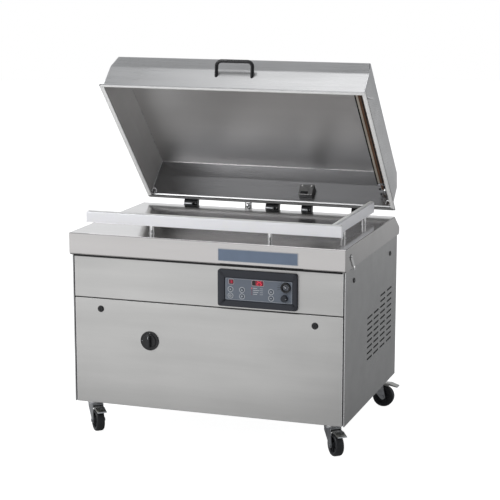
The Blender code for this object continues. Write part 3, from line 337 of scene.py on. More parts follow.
DRESSING = {
    "panel": ["front_lower_panel", "front_upper_panel", "rear_panel"],
    "side": ["left_side_panel", "right_side_panel"],
    "lid": ["lid_shell"],
    "deck": ["deck_plate"],
    "polished": ["gas_spring_rod", "gas_spring_lug"],
    "port": ["lid_port_block"],
    "handle": ["lid_handle", "hinge_leaf_1", "hinge_leaf_2", "hinge_leaf_3", "hinge_leaf_4"],
    "aluminium": ["front_counter_bar", "right_counter_bar"],
    "zinc": ["base_frame"],
    "chrome": ["transport_hook"],
    "black": ["main_switch_plate", "main_switch_knob", "panel_lock_left", "panel_lock_right",
              "gas_spring_tube", "cable_gland", "gauge_needle", "hinge_base_1", "hinge_base_2",
              "hinge_base_3", "hinge_base_4"],
    "charcoal": ["control_bezel"],
    "membrane": ["control_panel_plate"],
    "label": ["name_plate"],
    "key": ["key_1", "key_2", "key_3", "key_4", "key_5", "key_6"],
    "silicone": ["front_silicone", "right_silicone"],
    "lip": ["lid_gasket"],
    "tape": ["front_seal_bar", "right_seal_bar"],
    "paint": ["vacuum_pump"],
    "windings": ["seal_transformer"],
}


def closed_points(piece, face):
    """Corners of a face of a node on the lid, as they are with the lid closed."""
    to_closed = OPENING.inverted() @ piece.matrix_world
    return [to_closed @ piece.data.vertices[index].co for index in face.vertices]


def paint_lid_inside_light_and_shade():
    """Lighter and darker copies of the lid steel inside the lid, as painted light and shade: its roof, its
    rear wall and its end walls.
    """
    shell = nodes["lid_shell"]
    for look in ("lid_roof", "lid_rear", "lid_end"):
        shell.data.materials.append(LOOKS[look])
    turn = (OPENING.inverted() @ shell.matrix_world).to_3x3()
    slack, steep = 0.0004, 0.6
    for face in shell.data.polygons:
        inside = all(abs(point.x) < LID_WALL_X + slack and point.z < DECK + LID_ROOF + slack
                     and LID_WALL_FRONT - slack < point.y - FRONT < LID_WALL_REAR + slack
                     for point in closed_points(shell, face))
        normal = turn @ face.normal
        kind = 3 if abs(normal.x) > steep else 2 if abs(normal.y) > steep else 1
        face.material_index = kind * int(inside)


def shade_rear_lip():
    """The rear run of the lid's gasket gets a grey copy of its silicone without the glow: painted shade from
    the deck.
    """
    gasket = nodes["lid_gasket"]
    gasket.data.materials.append(LOOKS["rear_lip"])
    start = LID_WALL_REAR - 0.004
    for face in gasket.data.polygons:
        face.material_index = int(all(point.y - FRONT > start for point in closed_points(gasket, face)))


# ---------------------------------------------------------------- shapes

def finished_mesh(shape, name, angle=35.0):
    """Mesh from a bmesh, smooth except at edges sharper than the angle."""
    bmesh.ops.recalc_face_normals(shape, faces=shape.faces)
    mesh = bpy.data.meshes.new(name)
    shape.to_mesh(mesh)
    shape.free()
    mesh.shade_smooth()
    mesh.set_sharp_from_angle(angle=math.radians(angle))
    return mesh


def block(low, high, radius=0.0, segments=2):
    """Box between two corners, with rounded edges."""
    low, high = Vector(low), Vector(high)
    shape = bmesh.new()
    bmesh.ops.create_cube(shape, size=1.0)
    bmesh.ops.scale(shape, vec=high - low, verts=shape.verts)
    bmesh.ops.translate(shape, vec=(low + high) / 2, verts=shape.verts)
    if radius:
        bmesh.ops.bevel(shape, geom=shape.edges[:], offset=radius, segments=segments,
                        profile=0.5, affect="EDGES")
    return shape


def turned(profile, steps=48):
    """Solid of revolution about local Z from (radius, height) points."""
    shape = bmesh.new()
    rings = []
    for radius, height in profile:
        if radius == 0.0:
            rings.append([shape.verts.new((0.0, 0.0, height))])
            continue
        rings.append([shape.verts.new((radius * math.cos(turn), radius * math.sin(turn), height))
                      for turn in (2 * math.pi * step / steps for step in range(steps))])
    for lower, upper in zip(rings, rings[1:]):
        for step in range(steps):
            following = (step + 1) % steps
            corners = [lower[step % len(lower)], lower[following % len(lower)],
                       upper[following % len(upper)], upper[step % len(upper)]]
            shape.faces.new(list(dict.fromkeys(corners)))
    return shape


def disc(radius, height, steps):
    return turned([(0.0, 0.0), (radius, 0.0), (radius, height), (0.0, height)], steps)


def turned_ring(profile, steps=48):
    """Solid of revolution from a profile that closes on itself."""
    return turned(profile + profile[:1], steps)


def arc(centre, radius, start, end, steps):
    angles = [math.radians(start + (end - start) * step / steps) for step in range(steps + 1)]
    return [(centre[0] + radius * math.cos(angle), centre[1] + radius * math.sin(angle))
            for angle in angles]


def rounded(low, high, radius, steps=6):
    """Outline of a rounded rectangle."""
    corners = (((high[0] - radius, high[1] - radius), 0), ((low[0] + radius, high[1] - radius), 90),
               ((low[0] + radius, low[1] + radius), 180), ((high[0] - radius, low[1] + radius), 270))
    outline = []
    for centre, start in corners:
        outline += arc(centre, radius, start, start + 90, steps)
    return outline


def prism(outline, thickness):
    """Flat piece from an outline, its back on the local XY plane."""
    shape = bmesh.new()
    back = [shape.verts.new((x, y, 0.0)) for x, y in outline]
    front = [shape.verts.new((x, y, thickness)) for x, y in outline]
    shape.faces.new(back)
    shape.faces.new(front)
    join_loops(shape, back, front)
    return shape


def join_loops(shape, first, second):
    for index in range(len(first)):
        following = (index + 1) % len(first)
        shape.faces.new((first[index], first[following], second[following], second[index]))


def flat_ring(outer, inner, thickness):
    """Ring between two outlines with as many points each."""
    shape = bmesh.new()
    loops = [[shape.verts.new((x, y, level)) for x, y in outline]
             for outline, level in ((outer, 0.0), (outer, thickness), (inner, thickness), (inner, 0.0))]
    for index, loop in enumerate(loops):
        join_loops(shape, loop, loops[(index + 1) % len(loops)])
    return shape


def outline_ring(half, line, corners, thickness, steps=6):
    """Line of an even width just inside a rounded rectangle, given its outer and inner corners."""
    inner = (half[0] - line, half[1] - line)
    return flat_ring(rounded((-half[0], -half[1]), half, corners[0], steps),
                     rounded((-inner[0], -inner[1]), inner, corners[1], steps), thickness)


def tube(points, radius, steps=12):
    """Round bar along a path, with closed ends."""
    points = [Vector(point) for point in points]
    shape = bmesh.new()
    rings = []
    side = None
    for index, point in enumerate(points):
        before, after = points[max(index - 1, 0)], points[min(index + 1, len(points) - 1)]
        direction = (after - before).normalized()
        if side is None:
            side = direction.orthogonal().normalized()
        side = (side - direction * side.dot(direction)).normalized()
        other = direction.cross(side)
        rings.append([shape.verts.new(point + radius * (side * math.cos(turn) + other * math.sin(turn)))
                      for turn in (2 * math.pi * step / steps for step in range(steps))])
    for first, second in zip(rings, rings[1:]):
        join_loops(shape, first, second)
    shape.faces.new(rings[0])
    shape.faces.new(rings[-1])
    return shape


def merged(shapes):
    """One bmesh from several (shape, matrix) pairs."""
    whole = bmesh.new()
    for shape, matrix in shapes:
        shape.transform(matrix)
        mesh = bpy.data.meshes.new("part")
        shape.to_mesh(mesh)
        shape.free()
        whole.from_mesh(mesh)
        bpy.data.meshes.remove(mesh)
    return whole


def add(name, shape, look, body, matrix=LEVEL, angle=35.0):
    """A finished piece that rides on a body, in the material of its look."""
    piece = bpy.data.objects.new(name, finished_mesh(shape, name, angle))
    piece.data.materials.append(LOOKS[look])
    bpy.context.scene.collection.objects.link(piece)
    piece.matrix_world = matrix
    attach(piece, body)
    return piece


def screw_head(radius, height, socket=0.45):
    """Button head with a round recess in the middle."""
    recess = radius * socket
    return turned([(0.0, height * 0.45), (recess, height * 0.45), (recess, height),
                   (radius * 0.75, height * 0.95), (radius * 0.95, height * 0.6),
                   (radius, 0.0), (0.0, 0.0)], 24)


def hexagon(radius):
    return arc((0.0, 0.0), radius, 0, 300, 5)


# ---------------------------------------------------------------- lid

def lid_corner(side, depth_wall, depth_sign, height):
    """Inside corner of the lid at a height: the walls lean in above the bend."""
    lean = max(0.0, (height - LID_BEND) / (LID_ROOF - LID_BEND))
    return on_lid(side * (LID_WALL_X - lean * LID_SLOPE_SIDE),
                  depth_wall + depth_sign * lean * LID_SLOPE_FRONT, height)


def make_weld_beads():
    """Ground welds where the roof and the walls of the lid meet inside."""
    corners = {}
    for side, side_name in ((-1.0, "left"), (1.0, "right")):
        for wall, sign, wall_name in ((LID_WALL_FRONT, 1.0, "front"), (LID_WALL_REAR, -1.0, "rear")):
            heights = (0.014, LID_BEND, LID_ROOF)
            path = [lid_corner(side, wall, sign, height) for height in heights]
            corners[side_name, wall_name] = path[-1]
            add(f"corner_weld_{side_name}_{wall_name}", wavy_tube(path, 0.0013, 60), "bead", "lid")
    for first, second, name in ((("left", "rear"), ("right", "rear"), "rear"),
                                (("left", "front"), ("left", "rear"), "left"),
                                (("right", "front"), ("right", "rear"), "right")):
        path = [corners[first], corners[second]]
        add(f"roof_weld_{name}", wavy_tube(path, 0.0013, 160), "bead", "lid")


def wavy_tube(corners, radius, count):
    """Bead along straight stretches, uneven by a fraction of its radius."""
    points = []
    stretches = len(corners) - 1
    for stretch in range(stretches):
        start, end = corners[stretch], corners[stretch + 1]
        for step in range(count // stretches):
            points.append(start.lerp(end, step / (count // stretches)))
    points.append(corners[-1])
    amount = radius * 0.18
    points = [point + Vector([chance.uniform(-amount, amount) for _ in range(3)]) for point in points]
    return tube(points, radius, 8)


def make_lid_clips():
    """Bent wire clips in the lid's rear corners, and the screws beside them."""
    for side, name in ((-1.0, "left"), (1.0, "right")):
        x = side * (LID_WALL_X - 0.006)
        route = [(x, 0.641, 0.012), (x - side * 0.002, 0.636, 0.020), (x - side * 0.010, 0.633, 0.024),
                 (x - side * 0.016, 0.637, 0.020), (x - side * 0.018, 0.644, 0.013)]
        path = [on_lid(*point) for point in smooth_path(route, 5)]
        add(f"corner_clip_{name}", tube(path, 0.0017, 10), "polished", "lid")
        seat = lid_frame(x - side * 0.008, LID_WALL_REAR - 0.0002, 0.018, TO_FRONT)
        add(f"clip_screw_{name}", screw_head(0.0042, 0.0026), "polished", "lid", seat)


def smooth_path(points, steps):
    """Catmull-Rom curve through the points."""
    points = [Vector(point) for point in points]
    padded = [points[0] * 2 - points[1], *points, points[-1] * 2 - points[-2]]
    path = []
    for a, b, c, d in zip(padded, padded[1:], padded[2:], padded[3:]):
        for step in range(steps):
            t = step / steps
            path.append(0.5 * (2 * b + (c - a) * t + (2 * a - 5 * b + 4 * c - d) * t * t
                               + (3 * b - a - 3 * c + d) * t ** 3))
    path.append(points[-1])
    return path


def make_seal_strips():
    """Tapes and heating wire under the two seal bars, with their clamps."""
    tape, wire, flange, tail, z = 0.0004, 0.0007, 0.004, 0.024, SEAL_UNDER
    front, rear = SEAL_ENDS
    left, right = SEAL_FRONT_ENDS
    strips = (("seal_wire_right", (0.4176, front, z - wire), (0.4226, rear, z + flange), "gasket"),
              ("beige_tape_right", (0.4230, front, z - tape), (0.4304, rear, z), "beige"),
              ("brown_tape_right", (0.4308, front, z - tape), (0.4396, rear + tail, z), "tape"),
              ("edge_wire_right", (0.4400, front, z - 0.0006), (0.4438, rear, z), "gasket"),
              ("beige_tape_front", (left, 0.0492, z - tape), (right, 0.0592, z), "beige"),
              ("brown_tape_front", (left, 0.0600, z - tape), (right, 0.0708, z), "tape"))
    for name, low, high, look in strips:
        add(name, block(low, high), look, "lid", LID_SPACE)
    for index, depth in enumerate((0.092, 0.606)):
        fitting = block((0.4190, depth - 0.006, 0.0765), (0.4470, depth + 0.006, 0.0865), 0.001)
        add(f"seal_clamp_{index}", fitting, "polished", "lid", LID_SPACE)
        add(f"seal_clamp_screw_{index}", screw_head(0.0032, 0.0022), "black", "lid",
            lid_frame(0.433, depth, 0.0786, DOWN))


def make_seal_tail():
    """End fittings of the right seal bar: its tape's tail, two black knobs and a stud."""
    top = 0.0790
    tail = block((0.4308, 0.611, 0.0768), (0.4396, 0.640, top), 0.0006)
    add("seal_tail", tail, "tape", "lid", LID_SPACE)
    for index, (x, depth) in enumerate(((0.4240, 0.636), (0.4430, 0.622))):
        knob = turned([(0.0, 0.0), (0.0042, 0.0), (0.0042, 0.0040), (0.0030, 0.0052), (0.0, 0.0056)], 32)
        add(f"seal_knob_{index}", knob, "black", "lid", lid_frame(x, depth, top, DOWN))
    stud = turned([(0.0, 0.0), (0.0052, 0.0), (0.0056, 0.0020), (0.0040, 0.0056), (0.0, 0.0066)], 32)
    add("seal_stud", stud, "chrome", "lid", lid_frame(0.4420, 0.6425, top, DOWN))


def make_port_fittings():
    """Two bolts in the port block, and the black insert in its mouth."""
    edge = 0.010
    for index, x in enumerate((PORT_ENDS[0] + edge, PORT_ENDS[1] - edge)):
        add(f"port_bolt_{index}", screw_head(0.0040, 0.0032), "chrome", "lid",
            lid_frame(x, PORT_FACE, 0.070, TO_FRONT))
    insert = block((0.1232, PORT_FACE - 0.0006, 0.0330), (0.1530, PORT_FACE + 0.0120, 0.0450), 0.0012)
    add("port_insert", insert, "gasket", "lid", LID_SPACE)


def make_handle():
    """Glossy bar whose two legs run mitred into the lid's front wall."""
    half_span, reach, corner, radius, tip = 0.0665, 0.0427, 0.018, 0.0065, math.radians(48)
    foot_depth, foot_height, wall, steps = 0.0119, 0.078, 0.0178, 24
    route = [(-half_span, 0.0), (-half_span, 0.012)]
    route += arc((-half_span + corner, reach - corner), corner, 180, 90, 12)
    route += arc((half_span - corner, reach - corner), corner, 90, 0, 12)
    route += [(half_span, 0.012), (half_span, 0.0)]
    points = [(x, FRONT + foot_depth - out * math.cos(tip), DECK + foot_height + out * math.sin(tip))
              for x, out in route]
    shape = tube(points, radius, steps)
    shape.verts.ensure_lookup_table()
    for vert in shape.verts[:steps] + shape.verts[-steps:]:
        slide = (FRONT + wall - vert.co.y) / math.cos(tip)
        vert.co.y += slide * math.cos(tip)
        vert.co.z -= slide * math.sin(tip)
    bar = add("handle_bar", shape, "handle", "lid", OPENING)
    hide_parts("lid_handle")


def make_stud_washer():
    """Rubber ring and bright domed washer at the root of the stud on the lid's right end."""
    wall, rubber = 0.4829, 0.0012
    add("stud_ring", disc(0.0105, rubber, 32), "gasket", "lid", lid_frame(wall, *STUD, TO_RIGHT))
    washer = turned([(0.0, 0.0), (0.0088, 0.0), (0.0088, 0.0030), (0.0070, 0.0058), (0.0, 0.0070)], 32)
    add("stud_washer", washer, "bead", "lid", lid_frame(wall + rubber, *STUD, TO_RIGHT))


def make_lip_fins():
    """Inner fins of the lid's gasket along the end walls, in the same glowing silicone: painted light."""
    for side, name in ((-1.0, "left"), (1.0, "right")):
        edges = sorted((side * 0.4776, side * 0.4834))
        fin = block((edges[0], 0.0195, 0.0008), (edges[1], 0.6500, 0.0050), 0.0006)
        add(f"lip_fin_{name}", fin, "lip", "lid", LID_SPACE)


def make_lid():
    make_lip_fins()
    make_weld_beads()
    make_lid_clips()
    make_seal_strips()
    make_seal_tail()
    make_port_fittings()
    make_handle()
    make_stud_washer()


# ---------------------------------------------------------------- deck and hinges

def make_hinge_barrels():
    """Plated barrel across the left part of the first three black hinge leaves, with a screw beside it."""
    for tag in "123":
        low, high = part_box(f"hinge_leaf_{tag}")
        start, end = low.x + 0.001, low.x + (high.x - low.x) * 0.64
        barrel = turned([(0.0, 0.0), (0.0048, 0.0), (0.0058, 0.0010), (0.0058, end - start - 0.0010),
                         (0.0048, end - start), (0.0, end - start)], 32)
        add(f"hinge_barrel_{tag}", barrel, "zinc", "lid",
            facing(TO_RIGHT, start, PIVOT.y - 0.0065, PIVOT.z + 0.0290))
        spot = turned([(0.0, 0.0012), (0.0022, 0.0010), (0.0030, 0.0), (0.0, 0.0)], 24)
        add(f"hinge_screw_{tag}", spot, "chrome", "lid",
            facing(TO_FRONT, high.x - 0.008, PIVOT.y - 0.0048, PIVOT.z + 0.0300))


def make_spring_clevis():
    """Bright fork at the top of the gas spring's rod, one cheek on each side of the eye."""
    low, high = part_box("gas_spring_rod")
    x, y, top = (low.x + high.x) / 2, PIVOT.y - 0.0021, high.z - 0.0102
    cheeks = [(block((x + left, y - 0.0060, top - 0.0160), (x + left + 0.0032, y + 0.0060, top + 0.0130),
                     0.0012, 3), LEVEL) for left in (-0.0108, 0.0114)]
    bridge = block((x - 0.0108, y - 0.0050, top - 0.0170), (x + 0.0146, y + 0.0050, top - 0.0128), 0.0008)
    add("spring_clevis", merged(cheeks + [(bridge, LEVEL)]), "chrome", "gas_spring_rod")


def make_rod_sleeves():
    """Smooth chrome over the lift rods, between the deck and the counter bars."""
    for index, (x, y) in enumerate(rod_places()):
        body = "front_bar" if index < 2 else "right_bar"
        sleeve = turned_ring([(0.0079, -0.012), (0.00815, -0.012), (0.00815, 0.0268), (0.0079, 0.0268)])
        add(f"rod_sleeve_{index}", sleeve, "chrome", body, Matrix.Translation((x, y, DECK)))


def rod_places():
    front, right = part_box("front_counter_bar"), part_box("right_counter_bar")
    front_y, right_x = (front[0].y + front[1].y) / 2, (right[0].x + right[1].x) / 2
    return ((-0.2185, front_y), (0.213, front_y), (right_x, FRONT + 0.190), (right_x, FRONT + 0.466))


def make_rod_collars():
    """Flanged bushes in the deck round the lift rods of the counter bars."""
    profile = [(0.0088, 0.0), (0.0118, 0.0), (0.0118, 0.0008), (0.0108, 0.0014), (0.0090, 0.0014)]
    for index, (x, y) in enumerate(rod_places()):
        add(f"rod_bush_{index}", turned_ring(profile, 40), "polished", "cabinet",
            Matrix.Translation((x, y, DECK)))


def make_shadow_strips():
    """Black strips under the deck's front edge and in the seam between the front panels: painted shade in
    these gaps.
    """
    lip = block((-FRONT_HALF, FRONT - 0.0112, SKIRT_EDGE - 0.0030),
                (FRONT_HALF, FRONT - 0.0085, SKIRT_EDGE + 0.0008), 0.0004)
    add("deck_edge_shadow_strip", lip, "gasket", "cabinet")
    seam_low, seam_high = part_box("front_lower_panel")[1].z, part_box("front_upper_panel")[0].z
    seam_shadow = block((-FRONT_HALF, FRONT + 0.0010, seam_low + 0.0002),
                 (FRONT_HALF, FRONT + 0.0100, seam_high - 0.0002))
    add("seam_shadow_strip", seam_shadow, "gasket", "cabinet")


def make_panel_corners():
    """Rounded folds down the outer edges of the front and side panels, in the bright weld-bead steel:
    painted highlight along the edges.
    """
    for side, name in ((-1.0, "left"), (1.0, "right")):
        fold = [(side * (SIDE - 0.0007), FRONT + 0.0007, z) for z in (PANEL_LOW.z + 0.001, SKIRT_EDGE)]
        add(f"side_fold_{name}", tube(fold, 0.0009, 16), "bead", "cabinet")
        for row in ("lower", "upper"):
            low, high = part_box(f"front_{row}_panel")
            x = high.x - 0.0008 if side > 0 else low.x + 0.0008
            edge = [(x, FRONT + 0.0009, z) for z in (low.z + 0.0015, high.z - 0.0015)]
            add(f"{row}_panel_edge_{name}", tube(edge, 0.0010, 16), "bead", "cabinet")


def make_deck():
    make_hinge_barrels()
    make_spring_clevis()
    make_rod_collars()
    make_rod_sleeves()
    make_shadow_strips()
    make_panel_corners()


# ---------------------------------------------------------------- controls

SEGMENTS = {"0": "abcdef", "1": "bc", "2": "abdeg", "3": "abcdg", "4": "bcfg", "5": "acdfg",
            "6": "acdefg", "7": "abc", "8": "abcdefg", "9": "abcdfg"}


def digit(figure, x, y, height, stroke):
    """Seven-segment figure as flat bars: (shape, matrix) pairs."""
    half, width = height / 2, height * 0.5
    bars = {"a": (0, height, True), "g": (0, half, True), "d": (0, 0, True),
            "f": (0, half, False), "b": (width, half, False), "e": (0, 0, False), "c": (width, 0, False)}
    shapes = []
    for segment in SEGMENTS[figure]:
        left, bottom, flat = bars[segment]
        gap = stroke * 0.6
        if flat:
            low, high = (gap, -stroke / 2), (width - gap, stroke / 2)
        else:
            low, high = (-stroke / 2, gap), (stroke / 2, half - gap)
        matrix = Matrix.Translation((x + left, y + bottom, 0.0))
        shapes.append((block((*low, 0.0), (*high, 0.0003)), matrix))
    return shapes


def front_piece(name, shape, look, x, z, proud, body="cabinet", slot=None):
    """A piece whose back stands a little way out from the front of the cabinet."""
    return add(name, shape, look, body, facing(TO_FRONT, x, FRONT - proud, z))


def window(name, place, frame_size, glass_low, glass_high, proud, figures):
    """Display: a pale rounded outline, dark glass, and a red lit part with figures."""
    half = (frame_size[0] / 2, frame_size[1] / 2)
    line, corner, film = 0.0015, 0.0048, 0.0003
    glass = rounded((-half[0] + line, -half[1] + line), (half[0] - line, half[1] - line), corner - line)
    ring = outline_ring(half, line, (corner, corner - line), 0.0004)
    front_piece(f"{name}_outline", ring, "blush", *place, proud)
    front_piece(f"{name}_glass", prism(glass, film), "window", *place, proud)
    front_piece(f"{name}_filter", block((*glass_low, 0.0), (*glass_high, film), 0.0001), "dim_red", *place,
                proud + film)
    size = (glass_high[1] - glass_low[1]) * 0.80
    middle = (glass_low[0] + glass_high[0]) / 2
    pitch = size * 0.85
    shapes = []
    for index, figure in enumerate(figures):
        left = middle + (index - (len(figures) - 1) / 2) * pitch - size * 0.25
        shapes += digit(figure, left, -size / 2, size, size * 0.17)
    front_piece(f"{name}_figures", merged(shapes), "red", *place, proud + 2 * film)


def key_sign(kind):
    """Small sign on a key: arrows, a plus, a minus or a square."""
    bar, reach = 0.0007, 0.0034
    if kind == "plus":
        return merged([(block((-reach, -bar, 0), (reach, bar, INK)), LEVEL),
                       (block((-bar, -reach, 0), (bar, reach, INK)), LEVEL)])
    if kind == "minus":
        return block((-reach, -bar, 0), (reach, bar, INK))
    if kind == "square":
        return outline_ring((reach, reach), reach * 0.4, (0.0005, 0.0003), INK, 2)
    turn = {"up": 90, "down": 270, "right": 0}[kind]
    angles = [math.radians(turn + step) for step in (0, 130, 230)]
    corners = [(reach * math.cos(angle), reach * math.sin(angle)) for angle in angles]
    return prism(corners, INK)


def make_keys(proud):
    """Pale rings round the keys, and their signs, which move with them."""
    signs = {"1": "right", "2": "square", "3": "up", "4": "down", "5": "plus", "6": "minus"}
    for tag, kind in signs.items():
        x, z, radius, _, face = face_round(f"key_{tag}")
        inner, outer, height = radius + 0.0022, radius + 0.0036, 0.0004
        ring = turned_ring([(inner, 0.0), (outer, 0.0), (outer, height), (inner, height)], 40)
        front_piece(f"key_ring_{tag}", ring, "print", x, z, proud)
        front_piece(f"key_sign_{tag}", key_sign(kind), "print", x, z, face, f"key_{tag}")


def make_bezel_rim():
    """Raised surround of the membrane, with rounded upper edges."""
    middle, outer, proud = face_plate("control_bezel")
    plate_middle, plate, _ = face_plate("control_panel_plate")
    inset, wide, height = 0.0010, 0.0022, 0.0042
    shift = (plate_middle[0] - middle[0], plate_middle[1] - middle[1])
    outside = rounded((inset - outer[0], inset - outer[1]), (outer[0] - inset, outer[1] - inset), 0.009)
    inside = rounded((shift[0] - plate[0] - wide, shift[1] - plate[1] - wide),
                     (shift[0] + plate[0] + wide, shift[1] + plate[1] + wide), 0.004)
    rim = flat_ring(outside, inside, height)
    upper = [edge for edge in rim.edges if min(vert.co.z for vert in edge.verts) > height / 2]
    bmesh.ops.bevel(rim, geom=upper, offset=0.0009, segments=3, profile=0.5, affect="EDGES")
    front_piece("bezel_rim", rim, "charcoal", *middle, proud)


def make_membrane_print(proud):
    """Pale border line, legend lamps and lines, and the scale fan beside the gauge."""
    middle, half, _ = face_plate("control_panel_plate")
    margin, line = 0.002, 0.0006
    border = outline_ring((half[0] - margin, half[1] - margin), line, (0.003, 0.0026), INK)
    front_piece("membrane_border", border, "pale", *middle, proud)
    left, top, pitch = 0.170, 0.5710, 0.0068
    for row in range(4):
        z = top - row * pitch
        lamp = turned([(0.0, 0.0006), (0.0012, 0.0005), (0.0016, 0.0), (0.0, 0.0)], 20)
        look = "red" if row == 0 else "dim_red"
        front_piece(f"legend_lamp_{row}", lamp, look, left, z, proud)
        bar = block((0.005, -0.0008, 0), (0.019 + 0.004 * ((row * 2) % 3), 0.0008, INK))
        front_piece(f"legend_line_{row}", bar, "print", left, z, proud)
        tick = block((0.029, -0.0005, 0), (0.040, 0.0005, INK))
        front_piece(f"legend_tick_{row}", tick, "print", left, z, proud)
    gauge = face_round("gauge_body")[:2]
    for step in range(5):
        ray = block((0.0195, -0.0004, 0), (0.0320 - 0.0015 * step, 0.0004, INK))
        ray.transform(Matrix.Rotation(math.radians(198 - 16 * step), 4, "Z"))
        front_piece(f"scale_ray_{step}", ray, "gasket", *gauge, proud, slot="black_plastic")


def make_gauge():
    """Glossy ring, dial with ticks, and a hand with a boss over the needle's staff."""
    x, z, radius, back, front = face_round("gauge_body")
    depth, floor, card = front - back, 0.0014, 0.0003
    profile = [(0.0, 0.0), (radius, 0.0), (radius, depth * 0.80), (radius - 0.0006, depth * 0.95),
               (radius - 0.0015, depth), (radius - 0.0048, depth), (radius - 0.0056, depth * 0.92),
               (radius - 0.0066, floor), (0.0, floor)]
    body = front_piece("gauge_ring", turned(profile, 72), "handle", x, z, back)
    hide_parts("gauge_body")
    face = radius - 0.0070
    front_piece("gauge_dial", disc(face, card, 48), "dial", x, z, back + floor)
    shapes = []
    for step in range(11):
        length = 0.0022 if step % 5 == 0 else 0.0013
        turn = Matrix.Rotation(math.radians(225 - 27 * step), 4, "Z")
        place = turn @ Matrix.Translation((face - 0.0008, 0.0, 0.0))
        shapes.append((block((-length, -0.00035, 0), (0.0, 0.00035, 0.00015)), place))
    front_piece("gauge_ticks", merged(shapes), "print", x, z, back + floor + card)
    hand = block((-0.0034, -0.0007, 0.0), (0.0085, 0.0007, card), 0.0001)
    hand.transform(Matrix.Rotation(math.radians(140), 4, "Z"))
    boss = turned([(0.0, 0.0006), (0.0016, 0.0006), (0.0022, 0.0), (0.0, 0.0)], 24)
    whole = merged([(hand, LEVEL), (boss, Matrix.Translation((0, 0, card)))])
    front_piece("gauge_hand", whole, "print", x, z, face_round("gauge_needle")[4], "gauge_needle")


def make_air_knob():
    """Ribbed knob with a pointer line."""
    x, z, radius, back, front = face_round("soft_air_knob")
    height, steps, ribs, depth = front - back, 144, 36, 0.035
    shape = turned([(0.0, 0.0), (radius, 0.0), (radius, 0.0016), (radius - 0.0005, 0.0024),
                    (radius - 0.0009, height - 0.0012), (radius - 0.0020, height), (0.0, height)], steps)
    for vert in shape.verts:
        reach = math.hypot(vert.co.x, vert.co.y)
        if reach > radius - 0.0015 and vert.co.z > 0.002:
            wave = 1.0 - depth * (0.5 + 0.5 * math.cos(ribs * math.atan2(vert.co.y, vert.co.x)))
            vert.co.x *= wave
            vert.co.y *= wave
    knob = front_piece("soft_air_grip", shape, "knob", x, z, back, "soft_air_knob")
    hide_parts("soft_air_knob")
    mark = block((0.0055, -0.0005, 0.0), (radius - 0.0022, 0.0005, 0.0003))
    front_piece("soft_air_mark", mark, "pale", x, z, front, "soft_air_knob")


def make_controls():
    proud = face_plate("control_panel_plate")[2]
    make_bezel_rim()
    make_membrane_print(proud)
    make_keys(proud)
    window("time_display", (0.1914, 0.5890), (0.0440, 0.0205), (-0.0085, -0.0075), (0.0190, 0.0075),
           proud, "25")
    window("program_display", (0.0966, 0.5885), (0.0195, 0.0190), (-0.0055, -0.0060), (0.0055, 0.0060),
           proud, "1")
    make_gauge()
    make_air_knob()


def make_main_switch():
    """Scale marks and a rim on the plate, and a pale pointer on the grip."""
    x, z, radius, _, plate = face_round("main_switch_plate")
    shapes = []
    for turn in (90, 180):
        matrix = Matrix.Rotation(math.radians(turn), 4, "Z") @ Matrix.Translation((radius - 0.0035, 0, 0))
        shapes.append((block((-0.0042, -0.0007, 0.0), (0.0, 0.0007, INK)), matrix))
    front_piece("switch_marks", merged(shapes), "pale", x, z, plate)
    pointer = block((-0.0009, 0.010, 0.0), (0.0009, 0.0195, 0.0003))
    front_piece("switch_pointer", pointer, "pale", x, z, face_round("main_switch_knob")[4], "main_switch")
    rim = turned_ring([(radius - 0.0040, 0.0), (radius - 0.0008, 0.0), (radius - 0.0012, 0.0010),
                       (radius - 0.0036, 0.0010)], 64)
    front_piece("switch_rim", rim, "black", x, z, plate)


def make_lock_rings():
    for side in ("left", "right"):
        x, z, radius = face_round(f"panel_lock_{side}")[:3]
        ring = turned_ring([(radius + 0.0004, 0.0), (radius + 0.0020, 0.0), (radius + 0.0016, 0.0012),
                            (radius + 0.0004, 0.0012)], 40)
        front_piece(f"lock_ring_{side}", ring, "black", x, z, 0.0)


def make_label_border():
    middle, half, proud = face_plate("name_plate")
    ring = outline_ring(half, 0.0018, (0.003, 0.0015), 0.0004, 4)
    front_piece("label_border", ring, "pale", *middle, proud)


# ---------------------------------------------------------------- cabinet

def make_side_plugs():
    """Black plugs in the right side panel, over its fixing screws."""
    for index, (depth, z) in enumerate(((0.105, 0.598), (0.611, 0.595))):
        plug = turned([(0.0, 0.0016), (0.0030, 0.0016), (0.0036, 0.0030), (0.0068, 0.0033),
                       (0.0086, 0.0018), (0.0090, 0.0), (0.0, 0.0)], 32)
        add(f"side_plug_{index}", plug, "black", "cabinet", facing(TO_RIGHT, SIDE, FRONT + depth, z))
        screw = turned([(0.0, 0.0022), (0.0018, 0.0022), (0.0028, 0.0014), (0.0, 0.0014)], 24)
        add(f"side_screw_{index}", screw, "zinc", "cabinet",
            facing(TO_RIGHT, SIDE + 0.0003, FRONT + depth, z))


def make_vent_shadow_sheet():
    """Black sheet behind the cooling slots: painted shade inside them."""
    slot_shadow = block((SIDE - 0.0032, FRONT + 0.285, 0.260), (SIDE - 0.0018, FRONT + 0.655, 0.478), 0.0004)
    add("vent_shadow_sheet", slot_shadow, "gasket", "cabinet")


def make_hook_washer():
    add("hook_washer", disc(0.0105, 0.0004, 40), "gasket", "cabinet",
        facing(TO_RIGHT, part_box("deck_plate")[1].x, FRONT + 0.0444, DECK - 0.0354))


def make_rear_screws():
    low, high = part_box("rear_panel")
    rows = (low.z + 0.020, (low.z + high.z) / 2, high.z - 0.030)
    for row, z in enumerate(rows):
        for column, x in enumerate((low.x + 0.014, 0.0, high.x - 0.014)):
            add(f"rear_screw_{row}_{column}", screw_head(0.0048, 0.0024), "zinc", "cabinet",
                facing(TO_BACK, x, BACK, z))


def make_cabinet():
    make_side_plugs()
    make_vent_shadow_sheet()
    make_hook_washer()
    make_rear_screws()


# ---------------------------------------------------------------- casters

